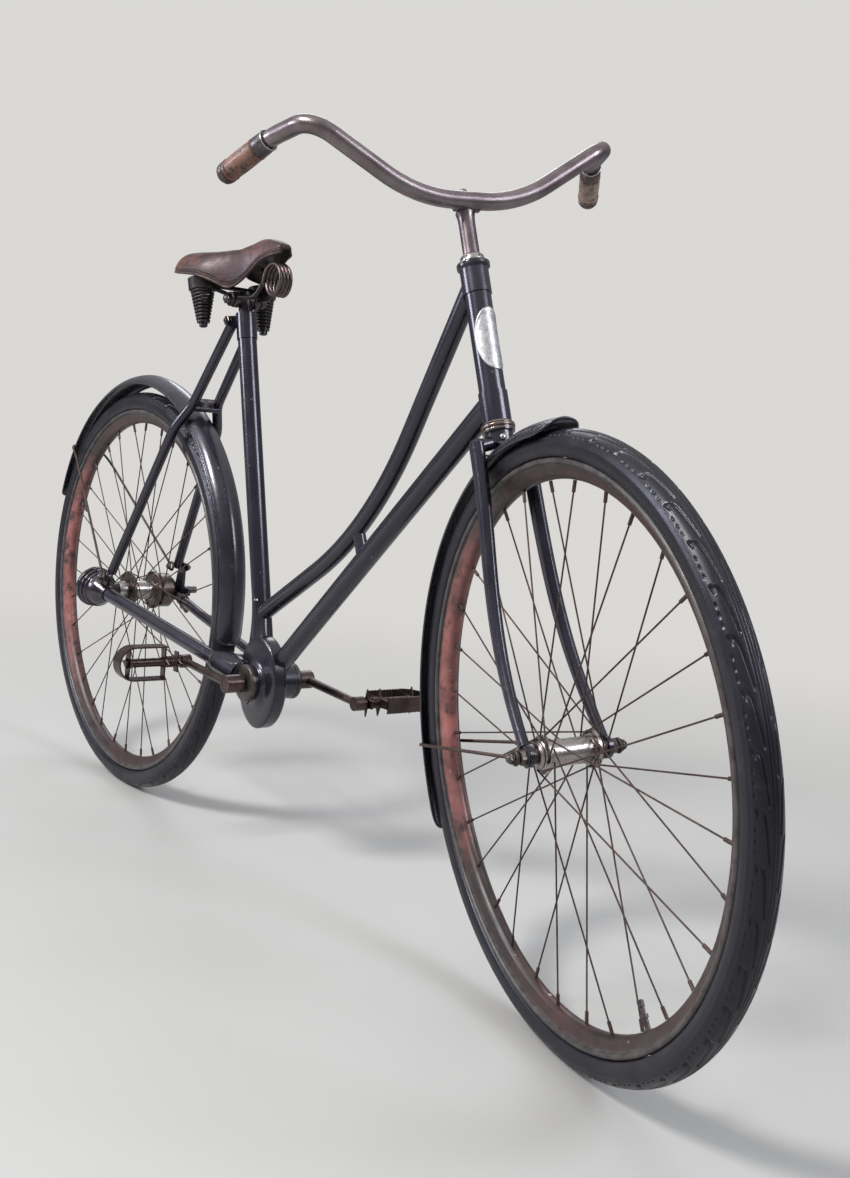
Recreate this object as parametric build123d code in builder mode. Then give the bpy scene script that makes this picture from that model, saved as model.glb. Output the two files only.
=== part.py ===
from build123d import *
from math import cos, radians, sin, sqrt, tan
import os

# A lady's step-through bicycle that is driven by a shaft and bevel gears instead of a chain.
# Millimetres. X runs forward, Y to the rider's left, Z up. The origin is the rider's place on the saddle.
# The steering is turned as the bicycle was left, and the cranks lie nearly level.

# Where the origin is, from the rear axle and from the ground
SEAT_AHEAD = 300.0
SEAT_HEIGHT = 944.0

# Wheels
WHEEL_RADIUS = 357.0
WHEELBASE = 1154.6
TYRE_WIDTH = 40.0
TYRE_SEAT_RADIUS = 326.0
RIM_INNER_RADIUS = 302.0
RIM_WIDTH = 34.0
RIM_BEAD_RADIUS = 3.6
RIM_WALL = 1.6
RIM_HUMP_WIDTH = 15.0
RIM_CHANNEL_RADIUS = 309.0
SPOKES_PER_WHEEL = 32
SPOKE_RADIUS = 1.0
SPOKE_CROSSES = 2
SPOKE_HOLE_INSET = 3.2
SPOKE_STAND_OFF = 1.7
NIPPLE_RADIUS = 2.1
NIPPLE_LENGTH = 13.0
AXLE_RADIUS = 4.8

# Clearances
RUNNING_FIT = 0.05
SLIP_FIT = 0.1
SEAT_GAP = 0.3
SIDE_GAP = 0.3

# Steering head
HEAD_ANGLE = 68.43
FORK_RAKE = 46.75
STEER_TURN = -14.33
HEAD_BOTTOM = 390.8
HEAD_TOP = 602.4
HEAD_TUBE_RADIUS = 16.3
HEAD_BORE_RADIUS = 14.2
LUG_RADIUS = 17.8
UPPER_LUG_LENGTH = 40.0
LOWER_LUG_LENGTH = 46.0
STEERER_RADIUS = 12.5
CUP_HEIGHT = 5.0
CUP_RADIUS = 20.5
RACE_HEIGHT = 4.5
RACE_RADIUS = 20.0
LOCK_NUT_RADIUS = 16.0
LOCK_NUT_HEIGHT = 11.0

# Fork: heights above the hub's foot on the steering axis
CROWN_HEIGHT = 15.0
CROWN_COLLAR_RADIUS = 17.0
CROWN_ARM_RADIUS = 9.0
CROWN_ARM_END_RADIUS = 8.0
BLADE_TOP = 376.0
BLADE_SHOULDER = 4.0
BLADE_SHOULDER_SHARE = 0.8
BLADE_TOP_FORWARD = 3.0
BLADE_SPREAD_TOP = 33.6
BLADE_HALF_WIDTH = 8.4
BLADE_HALF_DEPTH = 12.0
BLADE_RADIUS_TIP = 6.6
BLADE_SPREAD_TIP = 50.0
FORK_EYE_RADIUS = 13.0
FORK_EYE_THICKNESS = 5.0
STEERER_BORE_FOOT = 300.0

# Front hub
FRONT_BARREL_RADIUS = 15.2
FRONT_FLANGE_RADIUS = 21.8
FRONT_FLANGE_SPREAD = 31.0
FRONT_FLANGE_THICKNESS = 4.0
FRONT_HUB_END = 40.0
FRONT_AXLE_HALF = 66.0
AXLE_NUT_RADIUS = 8.5
AXLE_NUT_THICKNESS = 9.0

# Frame tubes
CRANK_AHEAD = 485.0
CRANK_HEIGHT = 291.0
SEAT_TUBE_RADIUS = 14.6
SEAT_TUBE_ANGLE = 75.25
SEAT_TUBE_SETBACK = 7.0
SEAT_TUBE_TOP_HEIGHT = 848.0
SEAT_LUG_LENGTH = 40.0
SEAT_LUG_WALL = 1.4
SEAT_BORE_DEPTH = 150.0
BINDER_BACK = 33.0
BINDER_HEIGHT = 836.0
BINDER_HALF_WIDTH = 11.0
BINDER_EAR_RADIUS = 8.0
BINDER_NUT_RADIUS = 6.4
BINDER_NUT_THICKNESS = 7.0
TOP_TUBE_RADIUS = 12.5
TOP_TUBE_HEAD_AT = 583.0
TOP_TUBE_CORNER = (723.2, 555.6)
TOP_TUBE_BEND_RADIUS = 540.0
TOP_TUBE_SEAT_HEIGHT = 390.0
DOWN_TUBE_RADIUS = 14.6
DOWN_TUBE_HEAD_AT = 426.5
DOWN_TUBE_FOOT_RISE = 4.0
BRACE_RADIUS = 9.0
BRACE_TOP_POINT = (693.0, 548.0)
BRACE_FOOT_AHEAD = 712.0

# Crank gear case
CASE_HALF_LENGTH = 55.0
CASE_HALF_HEIGHT = 71.0
CASE_RIGHT_FACE = -19.0
CASE_LEFT_FACE = 3.0
CASE_ROUNDING = 8.0
SHELL_RADIUS = 27.5
SHELL_HALF_WIDTH = 43.5
SHELL_RECESS_RADIUS = 22.5
SHELL_RECESS_DEPTH = 4.0
CRANK_AXLE_RADIUS = 9.0
CRANK_AXLE_HALF = 75.0

# Shaft drive
SHAFT_REAR_OFFSET = 68.0
SHAFT_FRONT_OFFSET = 34.0
SHAFT_FRONT_RISE = 5.0
SHAFT_TUBE_RADIUS = 11.8
BELL_RADIUS = 36.0
BELL_REAR = 30.0
BELL_RING_STEP = 2.2
BELL_RING_LENGTH = 9.0
BELL_DOME = 5.0
BELL_FRONT = 30.0
BELL_NECK_RADIUS = 13.2
PINION_BELL_SETBACK = 22.0
PINION_BELL_LENGTH = 72.0
PINION_BELL_RADIUS = 20.0
PINION_FLARE_RADIUS = 17.5
PINION_FLARE_LENGTH = 12.0
PINION_RING_RADIUS = 14.0
PINION_RING_LENGTH = 3.0
BELL_BOSS_RADIUS = 14.0
BELL_EAR_AHEAD = 27.0
BELL_EAR_HEIGHT = 385.0
BELL_EAR_RADIUS = 8.0
BELL_EAR_HALF_WIDTH = 6.0

# Rear hub and its brake drum, from the right end to the left
HUB_RIGHT_END = -30.0
HUB_CAP_RADIUS = 15.0
HUB_CAP_LENGTH = 9.0
REAR_BARREL_RADIUS = 17.0
REAR_FLANGE_RADIUS = 34.0
REAR_RIGHT_FLANGE = -16.0
REAR_LEFT_FLANGE = 31.5
REAR_FLANGE_THICKNESS = 5.0
DRUM_RADIUS = 31.0
DRUM_STEP_RADIUS = 26.0
DRUM_SHOULDER = 62.0
DRUM_OUTER = 68.0
LEFT_END = 76.0
END_PLATE_THICKNESS = 5.0
LEFT_EAR_AHEAD = 27.0
LEFT_EAR_RISE = 48.0
STEP_LENGTH = 40.0
STEP_RADIUS = 6.5
BRAKE_ARM_WIDTH = 13.0
BRAKE_ARM_THICKNESS = 3.0
BRAKE_ARM_TIP = (60.0, 330.0)
BRAKE_CLIP_WIDTH = 12.0
BRAKE_CLIP_WALL = 1.8

# Stays
SEAT_STAY_RADIUS = 8.2
SEAT_STAY_TOP = (322.0, 18.0, 829.0)
SEAT_STAY_BRIDGE = (216.0, 22.0, 700.0)
SEAT_STAY_SPREAD = (190.0, 40.0, 659.0)
SEAT_STAY_BEND_RADIUS = 80.0
CHAIN_STAY_RADIUS = 8.6
CHAIN_STAY_REAR = (42.0, 350.0)
CHAIN_STAY_MIDDLE = (150.0, 62.0, 331.0)
CHAIN_STAY_FRONT = (380.0, 44.0, 304.0)
CHAIN_STAY_SHELL_SIDE = 36.0
BRIDGE_LENGTH = 28.0
BRIDGE_THICKNESS = 9.0
LOWER_BRIDGE_AHEAD = 375.0
LOWER_BRIDGE_RADIUS = 6.0

# Mudguards, each a part of a ring with its own centre
REAR_GUARD_RADIUS = 361.0
REAR_GUARD_FORWARD = 6.0
REAR_GUARD_RISE = 27.0
REAR_GUARD_WIDTH = 49.0
REAR_GUARD_CROWN = 16.0
REAR_GUARD_START = -9.5
REAR_GUARD_END = 161.5
FRONT_GUARD_RADIUS = 369.0
FRONT_GUARD_WIDTH = 52.0
FRONT_GUARD_CROWN = 18.0
FRONT_GUARD_START = 94.5
FRONT_GUARD_END = 212.0
GUARD_THICKNESS = 1.6
GUARD_WIRE_RADIUS = 2.4
GUARD_WIRE_EYE_RADIUS = 7.5
STAY_EYE_HALF = 3.6
FRONT_WIRE_ANGLE = 194.0
REAR_WIRE_ANGLE = 142.0

# Cranks and pedals
CRANK_LENGTH = 146.0
CRANK_TILT = 2.0
CRANK_RADIUS_BOSS = 6.9
CRANK_RADIUS_EYE = 5.9
CRANK_OFFSET = 68.0
CRANK_BOSS_RADIUS = 14.0
CRANK_BOSS_INNER = 47.5
CRANK_BOSS_OUTER = 75.5
CRANK_EYE_RADIUS = 10.5
CRANK_EYE_HALF_WIDTH = 8.0
PEDAL_SPINDLE_RADIUS = 4.5
PEDAL_COLLAR_WALL = 2.0
PEDAL_INNER = 82.0
PEDAL_OUTER = 184.0
PEDAL_HALF_HEIGHT = 27.0
PEDAL_BARREL_RADIUS = 6.8
PEDAL_CAP_RADIUS = 9.0
PEDAL_CAP_LENGTH = 9.0
PEDAL_PLATE_THICKNESS = 2.4
PEDAL_PLATE_HALF_WIDTH = 7.0
PEDAL_TREAD_WIDTH = 25.0
PEDAL_SPUR = 21.0
PEDAL_OUTER_PLATE = 84.0
PEDAL_NOTCHES = 13
PEDAL_NOTCH_DEPTH = 2.4
PEDAL_NOTCH_PITCH = 5.6

# Handlebar, in the steered head's own directions
STEM_RADIUS = 10.4
STEM_INSERT = 60.0
STEM_BOLT_AHEAD = 2.0
STEM_BOLT_RADIUS = 5.5
STEM_BOLT_RISE = 6.0
BAR_RADIUS = 11.0
BAR_FORWARD = 8.0
BAR_HEIGHT = 681.0
BAR_FLAT_FORWARD = 12.0
BAR_FLAT_HALF = 68.0
BAR_BEND_FORWARD = 35.0
BAR_BEND_HALF = 200.0
BAR_BEND_HEIGHT = 759.0
BAR_GRIP_FORWARD = -40.0
BAR_GRIP_HALF = 222.0
BAR_GRIP_HEIGHT = 777.0
BAR_END_FORWARD = -124.0
BAR_END_HALF = 263.0
BAR_END_HEIGHT = 769.0
BAR_RISE_RADIUS = 175.0
BAR_TURN_RADIUS = 38.0
BAR_GRIP_BEND_RADIUS = 50.0
CLAMP_RADIUS = 13.4
CLAMP_HALF_WIDTH = 10.5
GRIP_LENGTH = 88.0
GRIP_RADIUS = 14.0
GRIP_MOUTH_WALL = 1.6
GRIP_END_WALL = 4.0
GRIP_TAPER = 1.5

# Saddle: heights are drops below the rider's place, and the nose is at the front
POST_RADIUS = 11.0
POST_INSERT = 120.0
POST_TOP_DROP = 64.0
SADDLE_CLAMP_DROP = 76.0
SADDLE_CLAMP_RADIUS = 10.0
SADDLE_CLAMP_HALF_WIDTH = 26.0
SPRING_AHEAD = 285.0
SPRING_SIDE = 54.0
SPRING_TOP_DROP = 66.0
SPRING_LEAN = 0.2
SPRING_COILS = 9
SPRING_PITCH = 5.4
SPRING_TOP_RADIUS = 18.0
SPRING_FOOT_RADIUS = 10.5
SPRING_GROOVE = 1.6
SPRING_CUP_HEIGHT = 20.0
SPRING_CUP_RADIUS = 22.5
SPRING_NUB_RADIUS = 6.5
SPRING_NUB_LENGTH = 9.0
SADDLE_BOLT_RADIUS = 5.0
NOSE_COIL_AHEAD = 422.6
NOSE_COIL_DROP = 47.0
NOSE_COIL_RADIUS = 22.9
NOSE_WIRE_RADIUS = 2.6
NOSE_WIRE_SETBACK = 2.65
NOSE_COIL_TURNS = 4
NOSE_COIL_PITCH = 6.5
FRAME_WIRE_RADIUS = 3.2
FRAME_WIRE_BEND_RADIUS = 20.0
FRAME_WIRE_FRONT = (380.0, 14.0)
FRAME_WIRE_MIDDLE = (330.0, 20.0)
FRAME_WIRE_DROP = 26.0
CROSS_BAR_RADIUS = 3.6


def at(ahead, left, height):
    """A point given by its distance ahead of the rear axle, to the left, and above the ground."""
    return Vector(ahead - SEAT_AHEAD, left, height - SEAT_HEIGHT)


def rod(start, end, radius, mode=Mode.ADD):
    """Adds a straight round bar from start to end to the piece being built."""
    span = Vector(end) - Vector(start)
    with BuildSketch(Plane(origin=start, z_dir=span)) as section:
        Circle(radius)
    extrude(section.sketch, amount=span.length, mode=mode)


def cone(start, end, start_radius, end_radius, mode=Mode.ADD):
    """Adds a tapered round bar from start to end."""
    span = Vector(end) - Vector(start)
    with BuildSketch(Plane(origin=start, z_dir=span)) as first:
        Circle(start_radius)
    with BuildSketch(Plane(origin=end, z_dir=span)) as last:
        Circle(end_radius)
    loft([first.sketch.face(), last.sketch.face()], mode=mode)


def bent_rod(points, radii, radius, mode=Mode.ADD):
    """Adds a round bar along straight runs joined by arcs of the given radii."""
    with BuildLine() as path:
        FilletPolyline(*points, radius=radii)
    with BuildSketch(Plane(origin=path.line @ 0, z_dir=path.line % 0)) as section:
        Circle(radius)
    sweep(section.sketch, path=path.line, mode=mode)


# The steering head's plane: its origin is the foot of the hub's offset, z up the steering axis,
# x forward and y to the left. Fork, stem and handlebar use it turned by the steering angle.
AXIS_FOOT = at(
    WHEELBASE - FORK_RAKE * sin(radians(HEAD_ANGLE)),
    0,
    WHEEL_RADIUS - FORK_RAKE * cos(radians(HEAD_ANGLE)),
)
head = Plane(
    origin=AXIS_FOOT,
    x_dir=(sin(radians(HEAD_ANGLE)), 0, cos(radians(HEAD_ANGLE))),
    z_dir=(-cos(radians(HEAD_ANGLE)), 0, sin(radians(HEAD_ANGLE))),
)
steered = Plane(
    origin=AXIS_FOOT,
    x_dir=head.x_dir * cos(radians(STEER_TURN)) + head.y_dir * sin(radians(STEER_TURN)),
    z_dir=head.z_dir,
)


def on_head(forward, left, up):
    """A point in the straight head's directions."""
    return head.from_local_coords(Vector(forward, left, up))


def on_fork(forward, left, up):
    """A point in the turned fork's directions."""
    return steered.from_local_coords(Vector(forward, left, up))


REAR_HUB = at(0, 0, WHEEL_RADIUS)
FRONT_HUB = on_fork(FORK_RAKE, 0, 0)
CRANK_CENTRE = at(CRANK_AHEAD, 0, CRANK_HEIGHT)

# Wheel planes: z along the axle to the left, x level and forward
rear_wheel_plane = Plane(origin=REAR_HUB, x_dir=(1, 0, 0), z_dir=(0, 1, 0))
front_wheel_plane = Plane(
    origin=FRONT_HUB,
    x_dir=steered.x_dir * sin(radians(HEAD_ANGLE)) - steered.z_dir * cos(radians(HEAD_ANGLE)),
    z_dir=steered.y_dir,
)


def seat_tube_at(height):
    """Centre of the seat tube at a height above the ground."""
    back = (height - CRANK_HEIGHT) / tan(radians(SEAT_TUBE_ANGLE))
    return at(CRANK_AHEAD - SEAT_TUBE_SETBACK - back, 0, height)


DOWN_TUBE_FOOT = at(CRANK_AHEAD, 0, CRANK_HEIGHT + DOWN_TUBE_FOOT_RISE)


def down_tube_at(ahead):
    """Centre of the down tube at a distance ahead of the rear axle."""
    top = on_head(0, 0, DOWN_TUBE_HEAD_AT)
    share = (ahead - CRANK_AHEAD) / (top.X + SEAT_AHEAD - CRANK_AHEAD)
    return DOWN_TUBE_FOOT + (top - DOWN_TUBE_FOOT) * share


def shaft_at(ahead):
    """Centre of the drive shaft, which crosses both axles' heights outside the right of each."""
    share = ahead / CRANK_AHEAD
    left = -SHAFT_REAR_OFFSET + (SHAFT_REAR_OFFSET - SHAFT_FRONT_OFFSET) * share
    return at(ahead, left, WHEEL_RADIUS + (CRANK_HEIGHT + SHAFT_FRONT_RISE - WHEEL_RADIUS) * share)


os.makedirs("parts", exist_ok=True)

# Head tube with its two lug sleeves and the bearing cups at its ends
with BuildPart() as head_tube:
    rod(on_head(0, 0, HEAD_BOTTOM + CUP_HEIGHT), on_head(0, 0, HEAD_TOP - CUP_HEIGHT), HEAD_TUBE_RADIUS)
    rod(on_head(0, 0, HEAD_BOTTOM), on_head(0, 0, HEAD_BOTTOM + LOWER_LUG_LENGTH), LUG_RADIUS)
    rod(on_head(0, 0, HEAD_TOP - UPPER_LUG_LENGTH), on_head(0, 0, HEAD_TOP), LUG_RADIUS)
    rod(on_head(0, 0, HEAD_BOTTOM), on_head(0, 0, HEAD_BOTTOM + CUP_HEIGHT), CUP_RADIUS)
    rod(on_head(0, 0, HEAD_TOP - CUP_HEIGHT), on_head(0, 0, HEAD_TOP), CUP_RADIUS)
    rod(on_head(0, 0, HEAD_BOTTOM), on_head(0, 0, HEAD_TOP), HEAD_BORE_RADIUS, mode=Mode.SUBTRACT)
    for low, high in (
        (HEAD_BOTTOM, HEAD_BOTTOM + CUP_HEIGHT),
        (HEAD_TOP - CUP_HEIGHT, HEAD_TOP),
    ):
        rod(on_head(0, 0, low), on_head(0, 0, high), HEAD_BORE_RADIUS)
    rod(
        on_head(0, 0, HEAD_BOTTOM),
        on_head(0, 0, HEAD_TOP),
        STEERER_RADIUS + RUNNING_FIT,
        mode=Mode.SUBTRACT,
    )
head_tube.part.label = "head_tube"
export_step(head_tube.part, "parts/head_tube.step")

# Crank gear case: a flat oval case round the crown wheel, the bearing shell through it,
# and the bell that leads the shaft's pinion in from the rear on the right
crank_plane = Plane(origin=CRANK_CENTRE, x_dir=(1, 0, 0), z_dir=(0, -1, 0))
PINION_BELL_END_AHEAD = CRANK_AHEAD - PINION_BELL_SETBACK
SHAFT_DIRECTION = (shaft_at(CRANK_AHEAD) - shaft_at(0)).normalized()
with BuildPart() as gear_case:
    with BuildSketch(crank_plane.offset(-CASE_LEFT_FACE)):
        Ellipse(CASE_HALF_LENGTH, CASE_HALF_HEIGHT)
    extrude(amount=CASE_LEFT_FACE - CASE_RIGHT_FACE)
    fillet(gear_case.faces().sort_by(Axis.Y)[-1].edges(), CASE_ROUNDING)
    with BuildSketch(crank_plane.offset(-SHELL_HALF_WIDTH)):
        Circle(SHELL_RADIUS)
    extrude(amount=2 * SHELL_HALF_WIDTH)
    bell_start = shaft_at(PINION_BELL_END_AHEAD) - SHAFT_DIRECTION * PINION_BELL_LENGTH
    bell_normal = SHAFT_DIRECTION.cross(Vector(0, 1, 0))
    bell_plane = Plane(origin=bell_start, x_dir=SHAFT_DIRECTION, z_dir=bell_normal)
    with BuildSketch(bell_plane) as bell_profile:
        with BuildLine():
            Polyline((0, 0), (0, PINION_RING_RADIUS), (PINION_RING_LENGTH, PINION_RING_RADIUS))
            ThreePointArc(
                (PINION_RING_LENGTH, PINION_RING_RADIUS),
                (0.5 * PINION_FLARE_LENGTH, 0.4 * PINION_RING_RADIUS + 0.6 * PINION_FLARE_RADIUS),
                (PINION_FLARE_LENGTH, PINION_FLARE_RADIUS),
            )
            Polyline(
                (PINION_FLARE_LENGTH, PINION_FLARE_RADIUS),
                (PINION_BELL_LENGTH, PINION_BELL_RADIUS),
                (PINION_BELL_LENGTH, 0),
                (0, 0),
            )
        make_face()
    revolve(bell_profile.sketch, axis=Axis(bell_start, SHAFT_DIRECTION))
    for side in (1, -1):
        rod(
            CRANK_CENTRE + Vector(0, side * (SHELL_HALF_WIDTH - SHELL_RECESS_DEPTH), 0),
            CRANK_CENTRE + Vector(0, side * (SHELL_HALF_WIDTH + 1), 0),
            SHELL_RECESS_RADIUS,
            mode=Mode.SUBTRACT,
        )
    rod(
        CRANK_CENTRE - Vector(0, SHELL_HALF_WIDTH + 1, 0),
        CRANK_CENTRE + Vector(0, SHELL_HALF_WIDTH + 1, 0),
        CRANK_AXLE_RADIUS + RUNNING_FIT,
        mode=Mode.SUBTRACT,
    )
gear_case.part.label = "gear_case"
export_step(gear_case.part, "parts/gear_case.step")

# Seat tube down to the bearing shell, with the lug round its top and the two ears behind it
# that the binder bolt draws together
BINDER_POINT = seat_tube_at(BINDER_HEIGHT) - Vector(BINDER_BACK, 0, 0)
ACROSS = Vector(0, 1, 0)
with BuildPart() as seat_tube:
    rod(seat_tube_at(CRANK_HEIGHT), seat_tube_at(SEAT_TUBE_TOP_HEIGHT), SEAT_TUBE_RADIUS)
    rod(
        seat_tube_at(SEAT_TUBE_TOP_HEIGHT - SEAT_LUG_LENGTH),
        seat_tube_at(SEAT_TUBE_TOP_HEIGHT),
        SEAT_TUBE_RADIUS + SEAT_LUG_WALL,
    )
    rod(
        BINDER_POINT - ACROSS * BINDER_HALF_WIDTH,
        BINDER_POINT + ACROSS * BINDER_HALF_WIDTH,
        BINDER_EAR_RADIUS,
    )
    ear_plane = Plane(origin=BINDER_POINT - ACROSS * BINDER_HALF_WIDTH, x_dir=(1, 0, 0), z_dir=(0, 1, 0))
    with BuildSketch(ear_plane) as ear:
        with Locations((BINDER_BACK / 2, 0)):
            Rectangle(BINDER_BACK, 2 * BINDER_EAR_RADIUS)
    extrude(ear.sketch, amount=2 * BINDER_HALF_WIDTH)
    rod(
        BINDER_POINT - ACROSS * (BINDER_HALF_WIDTH + BINDER_NUT_THICKNESS),
        BINDER_POINT + ACROSS * (BINDER_HALF_WIDTH + BINDER_NUT_THICKNESS),
        BINDER_NUT_RADIUS,
    )
    rod(
        seat_tube_at(SEAT_TUBE_TOP_HEIGHT - SEAT_BORE_DEPTH),
        seat_tube_at(SEAT_TUBE_TOP_HEIGHT + 1),
        POST_RADIUS + SLIP_FIT,
        mode=Mode.SUBTRACT,
    )
    add(gear_case.part, mode=Mode.SUBTRACT)
    rod(
        CRANK_CENTRE - ACROSS * SHELL_HALF_WIDTH,
        CRANK_CENTRE + ACROSS * SHELL_HALF_WIDTH,
        SHELL_RADIUS,
        mode=Mode.SUBTRACT,
    )
    split(bisect_by=Plane(origin=CRANK_CENTRE, z_dir=(0, 0, 1)), keep=Keep.TOP)
seat_tube.part.label = "seat_tube"
export_step(seat_tube.part, "parts/seat_tube.step")

# Top tube: straight from the head, one long bend, straight to the foot of the seat tube
with BuildPart() as top_tube:
    bent_rod(
        (
            on_head(0, 0, TOP_TUBE_HEAD_AT),
            at(TOP_TUBE_CORNER[0], 0, TOP_TUBE_CORNER[1]),
            seat_tube_at(TOP_TUBE_SEAT_HEIGHT),
        ),
        TOP_TUBE_BEND_RADIUS,
        TOP_TUBE_RADIUS,
    )
    rod(on_head(0, 0, HEAD_BOTTOM), on_head(0, 0, HEAD_TOP + 30), LUG_RADIUS, mode=Mode.SUBTRACT)
    rod(seat_tube_at(CRANK_HEIGHT), seat_tube_at(SEAT_TUBE_TOP_HEIGHT), SEAT_TUBE_RADIUS, mode=Mode.SUBTRACT)
top_tube.part.label = "top_tube"
export_step(top_tube.part, "parts/top_tube.step")

# Down tube, from the lower head lug to the front of the gear case
with BuildPart() as down_tube:
    rod(DOWN_TUBE_FOOT, on_head(0, 0, DOWN_TUBE_HEAD_AT), DOWN_TUBE_RADIUS)
    rod(on_head(0, 0, HEAD_BOTTOM - 20), on_head(0, 0, HEAD_TOP), LUG_RADIUS, mode=Mode.SUBTRACT)
    add(gear_case.part, mode=Mode.SUBTRACT)
    rod(
        CRANK_CENTRE - ACROSS * (SHELL_HALF_WIDTH + 1),
        CRANK_CENTRE + ACROSS * (SHELL_HALF_WIDTH + 1),
        SHELL_RADIUS,
        mode=Mode.SUBTRACT,
    )
    add(seat_tube.part, mode=Mode.SUBTRACT)
down_tube.part.label = "down_tube"
export_step(down_tube.part, "parts/down_tube.step")

# Short strut between the two long tubes where the top tube bends
with BuildPart() as frame_brace:
    rod(at(BRACE_TOP_POINT[0], 0, BRACE_TOP_POINT[1]), down_tube_at(BRACE_FOOT_AHEAD), BRACE_RADIUS)
    add(top_tube.part, mode=Mode.SUBTRACT)
    add(down_tube.part, mode=Mode.SUBTRACT)
frame_brace.part.label = "frame_brace"
export_step(frame_brace.part, "parts/frame_brace.step")

# Drive shaft's tube, on the right in the place of a chain stay
with BuildPart() as shaft_tube:
    rod(shaft_at(BELL_FRONT), shaft_at(PINION_BELL_END_AHEAD - PINION_BELL_LENGTH / 2), SHAFT_TUBE_RADIUS)
    add(gear_case.part, mode=Mode.SUBTRACT)
shaft_tube.part.label = "shaft_tube"
export_step(shaft_tube.part, "parts/shaft_tube.step")

# Rear bevel gear case: a bell of three stepped rings and a smooth cone about the shaft, a boss
# toward the hub that holds the axle, and an ear on top for the seat stay and the mudguard wire
BELL_CENTRE = shaft_at(0)
BELL_BOSS_FACE = HUB_RIGHT_END - SIDE_GAP
RIGHT_EYE = at(BELL_EAR_AHEAD, -SHAFT_REAR_OFFSET, BELL_EAR_HEIGHT)
bell_rear_plane = Plane(
    origin=BELL_CENTRE,
    x_dir=SHAFT_DIRECTION,
    z_dir=SHAFT_DIRECTION.cross(Vector(0, 1, 0)),
)
with BuildPart() as rear_gear_case:
    with BuildSketch(bell_rear_plane) as profile:
        with BuildLine():
            ThreePointArc(
                (-BELL_REAR - BELL_DOME, 0),
                (-BELL_REAR - 0.75 * BELL_DOME, 0.5 * BELL_RADIUS),
                (-BELL_REAR, BELL_RADIUS - BELL_RING_STEP),
            )
            ring_points = [(-BELL_REAR, BELL_RADIUS - BELL_RING_STEP)]
            for ring in range(3):
                ring_radius = BELL_RADIUS - ring * BELL_RING_STEP
                ring_start = -BELL_REAR + 2 + ring * BELL_RING_LENGTH
                ring_points.append((ring_start, ring_radius))
                ring_points.append((ring_start + BELL_RING_LENGTH - 2, ring_radius))
            Polyline(*ring_points)
            cone_start = ring_points[-1]
            ThreePointArc(
                cone_start,
                (
                    0.55 * cone_start[0] + 0.45 * BELL_FRONT,
                    0.4 * cone_start[1] + 0.6 * BELL_NECK_RADIUS,
                ),
                (BELL_FRONT, BELL_NECK_RADIUS),
            )
            Polyline((BELL_FRONT, BELL_NECK_RADIUS), (BELL_FRONT, 0), (-BELL_REAR - BELL_DOME, 0))
        make_face()
    revolve(profile.sketch, axis=Axis(BELL_CENTRE, SHAFT_DIRECTION))
    rod(BELL_CENTRE, at(0, BELL_BOSS_FACE, WHEEL_RADIUS), BELL_BOSS_RADIUS)
    rod(RIGHT_EYE - ACROSS * BELL_EAR_HALF_WIDTH, RIGHT_EYE + ACROSS * BELL_EAR_HALF_WIDTH, BELL_EAR_RADIUS)
    rod(RIGHT_EYE, shaft_at(BELL_EAR_AHEAD / 2), BELL_EAR_RADIUS - 1)
    rod(
        BELL_CENTRE,
        at(0, BELL_BOSS_FACE + 1, WHEEL_RADIUS),
        AXLE_RADIUS,
        mode=Mode.SUBTRACT,
    )
rear_gear_case.part.label = "rear_gear_case"
export_step(rear_gear_case.part, "parts/rear_gear_case.step")

# Left fork end: a flat plate round the axle with an ear above it
LEFT_PLATE_FACE = LEFT_END + END_PLATE_THICKNESS / 2
LEFT_PLATE_INNER = LEFT_END - END_PLATE_THICKNESS / 2
LEFT_EAR = at(LEFT_EAR_AHEAD, LEFT_PLATE_INNER, WHEEL_RADIUS + LEFT_EAR_RISE)
LEFT_PLATE_OUTLINE = (
    # ahead and above the axle
    (-14, 0),
    (-8, -16),
    (16, -18),
    (58, -2),
    (60, 10),
    (34, 12),
    (36, 54),
    (18, 56),
    (6, 16),
    (-8, 14),
)
with BuildPart() as left_fork_end:
    with BuildSketch(rear_wheel_plane.offset(LEFT_PLATE_INNER)) as plate:
        with BuildLine():
            Polyline(*[(ahead, -above) for ahead, above in LEFT_PLATE_OUTLINE], close=True)
        make_face()
        Circle(AXLE_RADIUS, mode=Mode.SUBTRACT)
    extrude(plate.sketch, amount=END_PLATE_THICKNESS)
left_fork_end.part.label = "left_fork_end"
export_step(left_fork_end.part, "parts/left_fork_end.step")

# Left chain stay, from the gear case's shell back to the plate's inner face, and the lower bridge
# brazed between it and the shaft's tube
CHAIN_STAY_SIDE = LEFT_PLATE_INNER - CHAIN_STAY_RADIUS
CHAIN_STAY_END = at(CHAIN_STAY_REAR[0], CHAIN_STAY_SIDE, CHAIN_STAY_REAR[1])
LOWER_BRIDGE_END = at(LOWER_BRIDGE_AHEAD, CHAIN_STAY_FRONT[1], CHAIN_STAY_FRONT[2])
with BuildPart() as left_chain_stay:
    bent_rod(
        (
            CRANK_CENTRE + Vector(-SEAT_TUBE_RADIUS, CHAIN_STAY_SHELL_SIDE, 0),
            at(*CHAIN_STAY_FRONT),
            at(*CHAIN_STAY_MIDDLE),
            CHAIN_STAY_END,
        ),
        (180, 180),
        CHAIN_STAY_RADIUS,
    )
    rod(shaft_at(LOWER_BRIDGE_AHEAD), LOWER_BRIDGE_END, LOWER_BRIDGE_RADIUS)
    rod(
        shaft_at(0),
        shaft_at(PINION_BELL_END_AHEAD),
        SHAFT_TUBE_RADIUS + SEAT_GAP,
        mode=Mode.SUBTRACT,
    )
    add(gear_case.part, mode=Mode.SUBTRACT)
left_chain_stay.part.label = "left_chain_stay"
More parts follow.
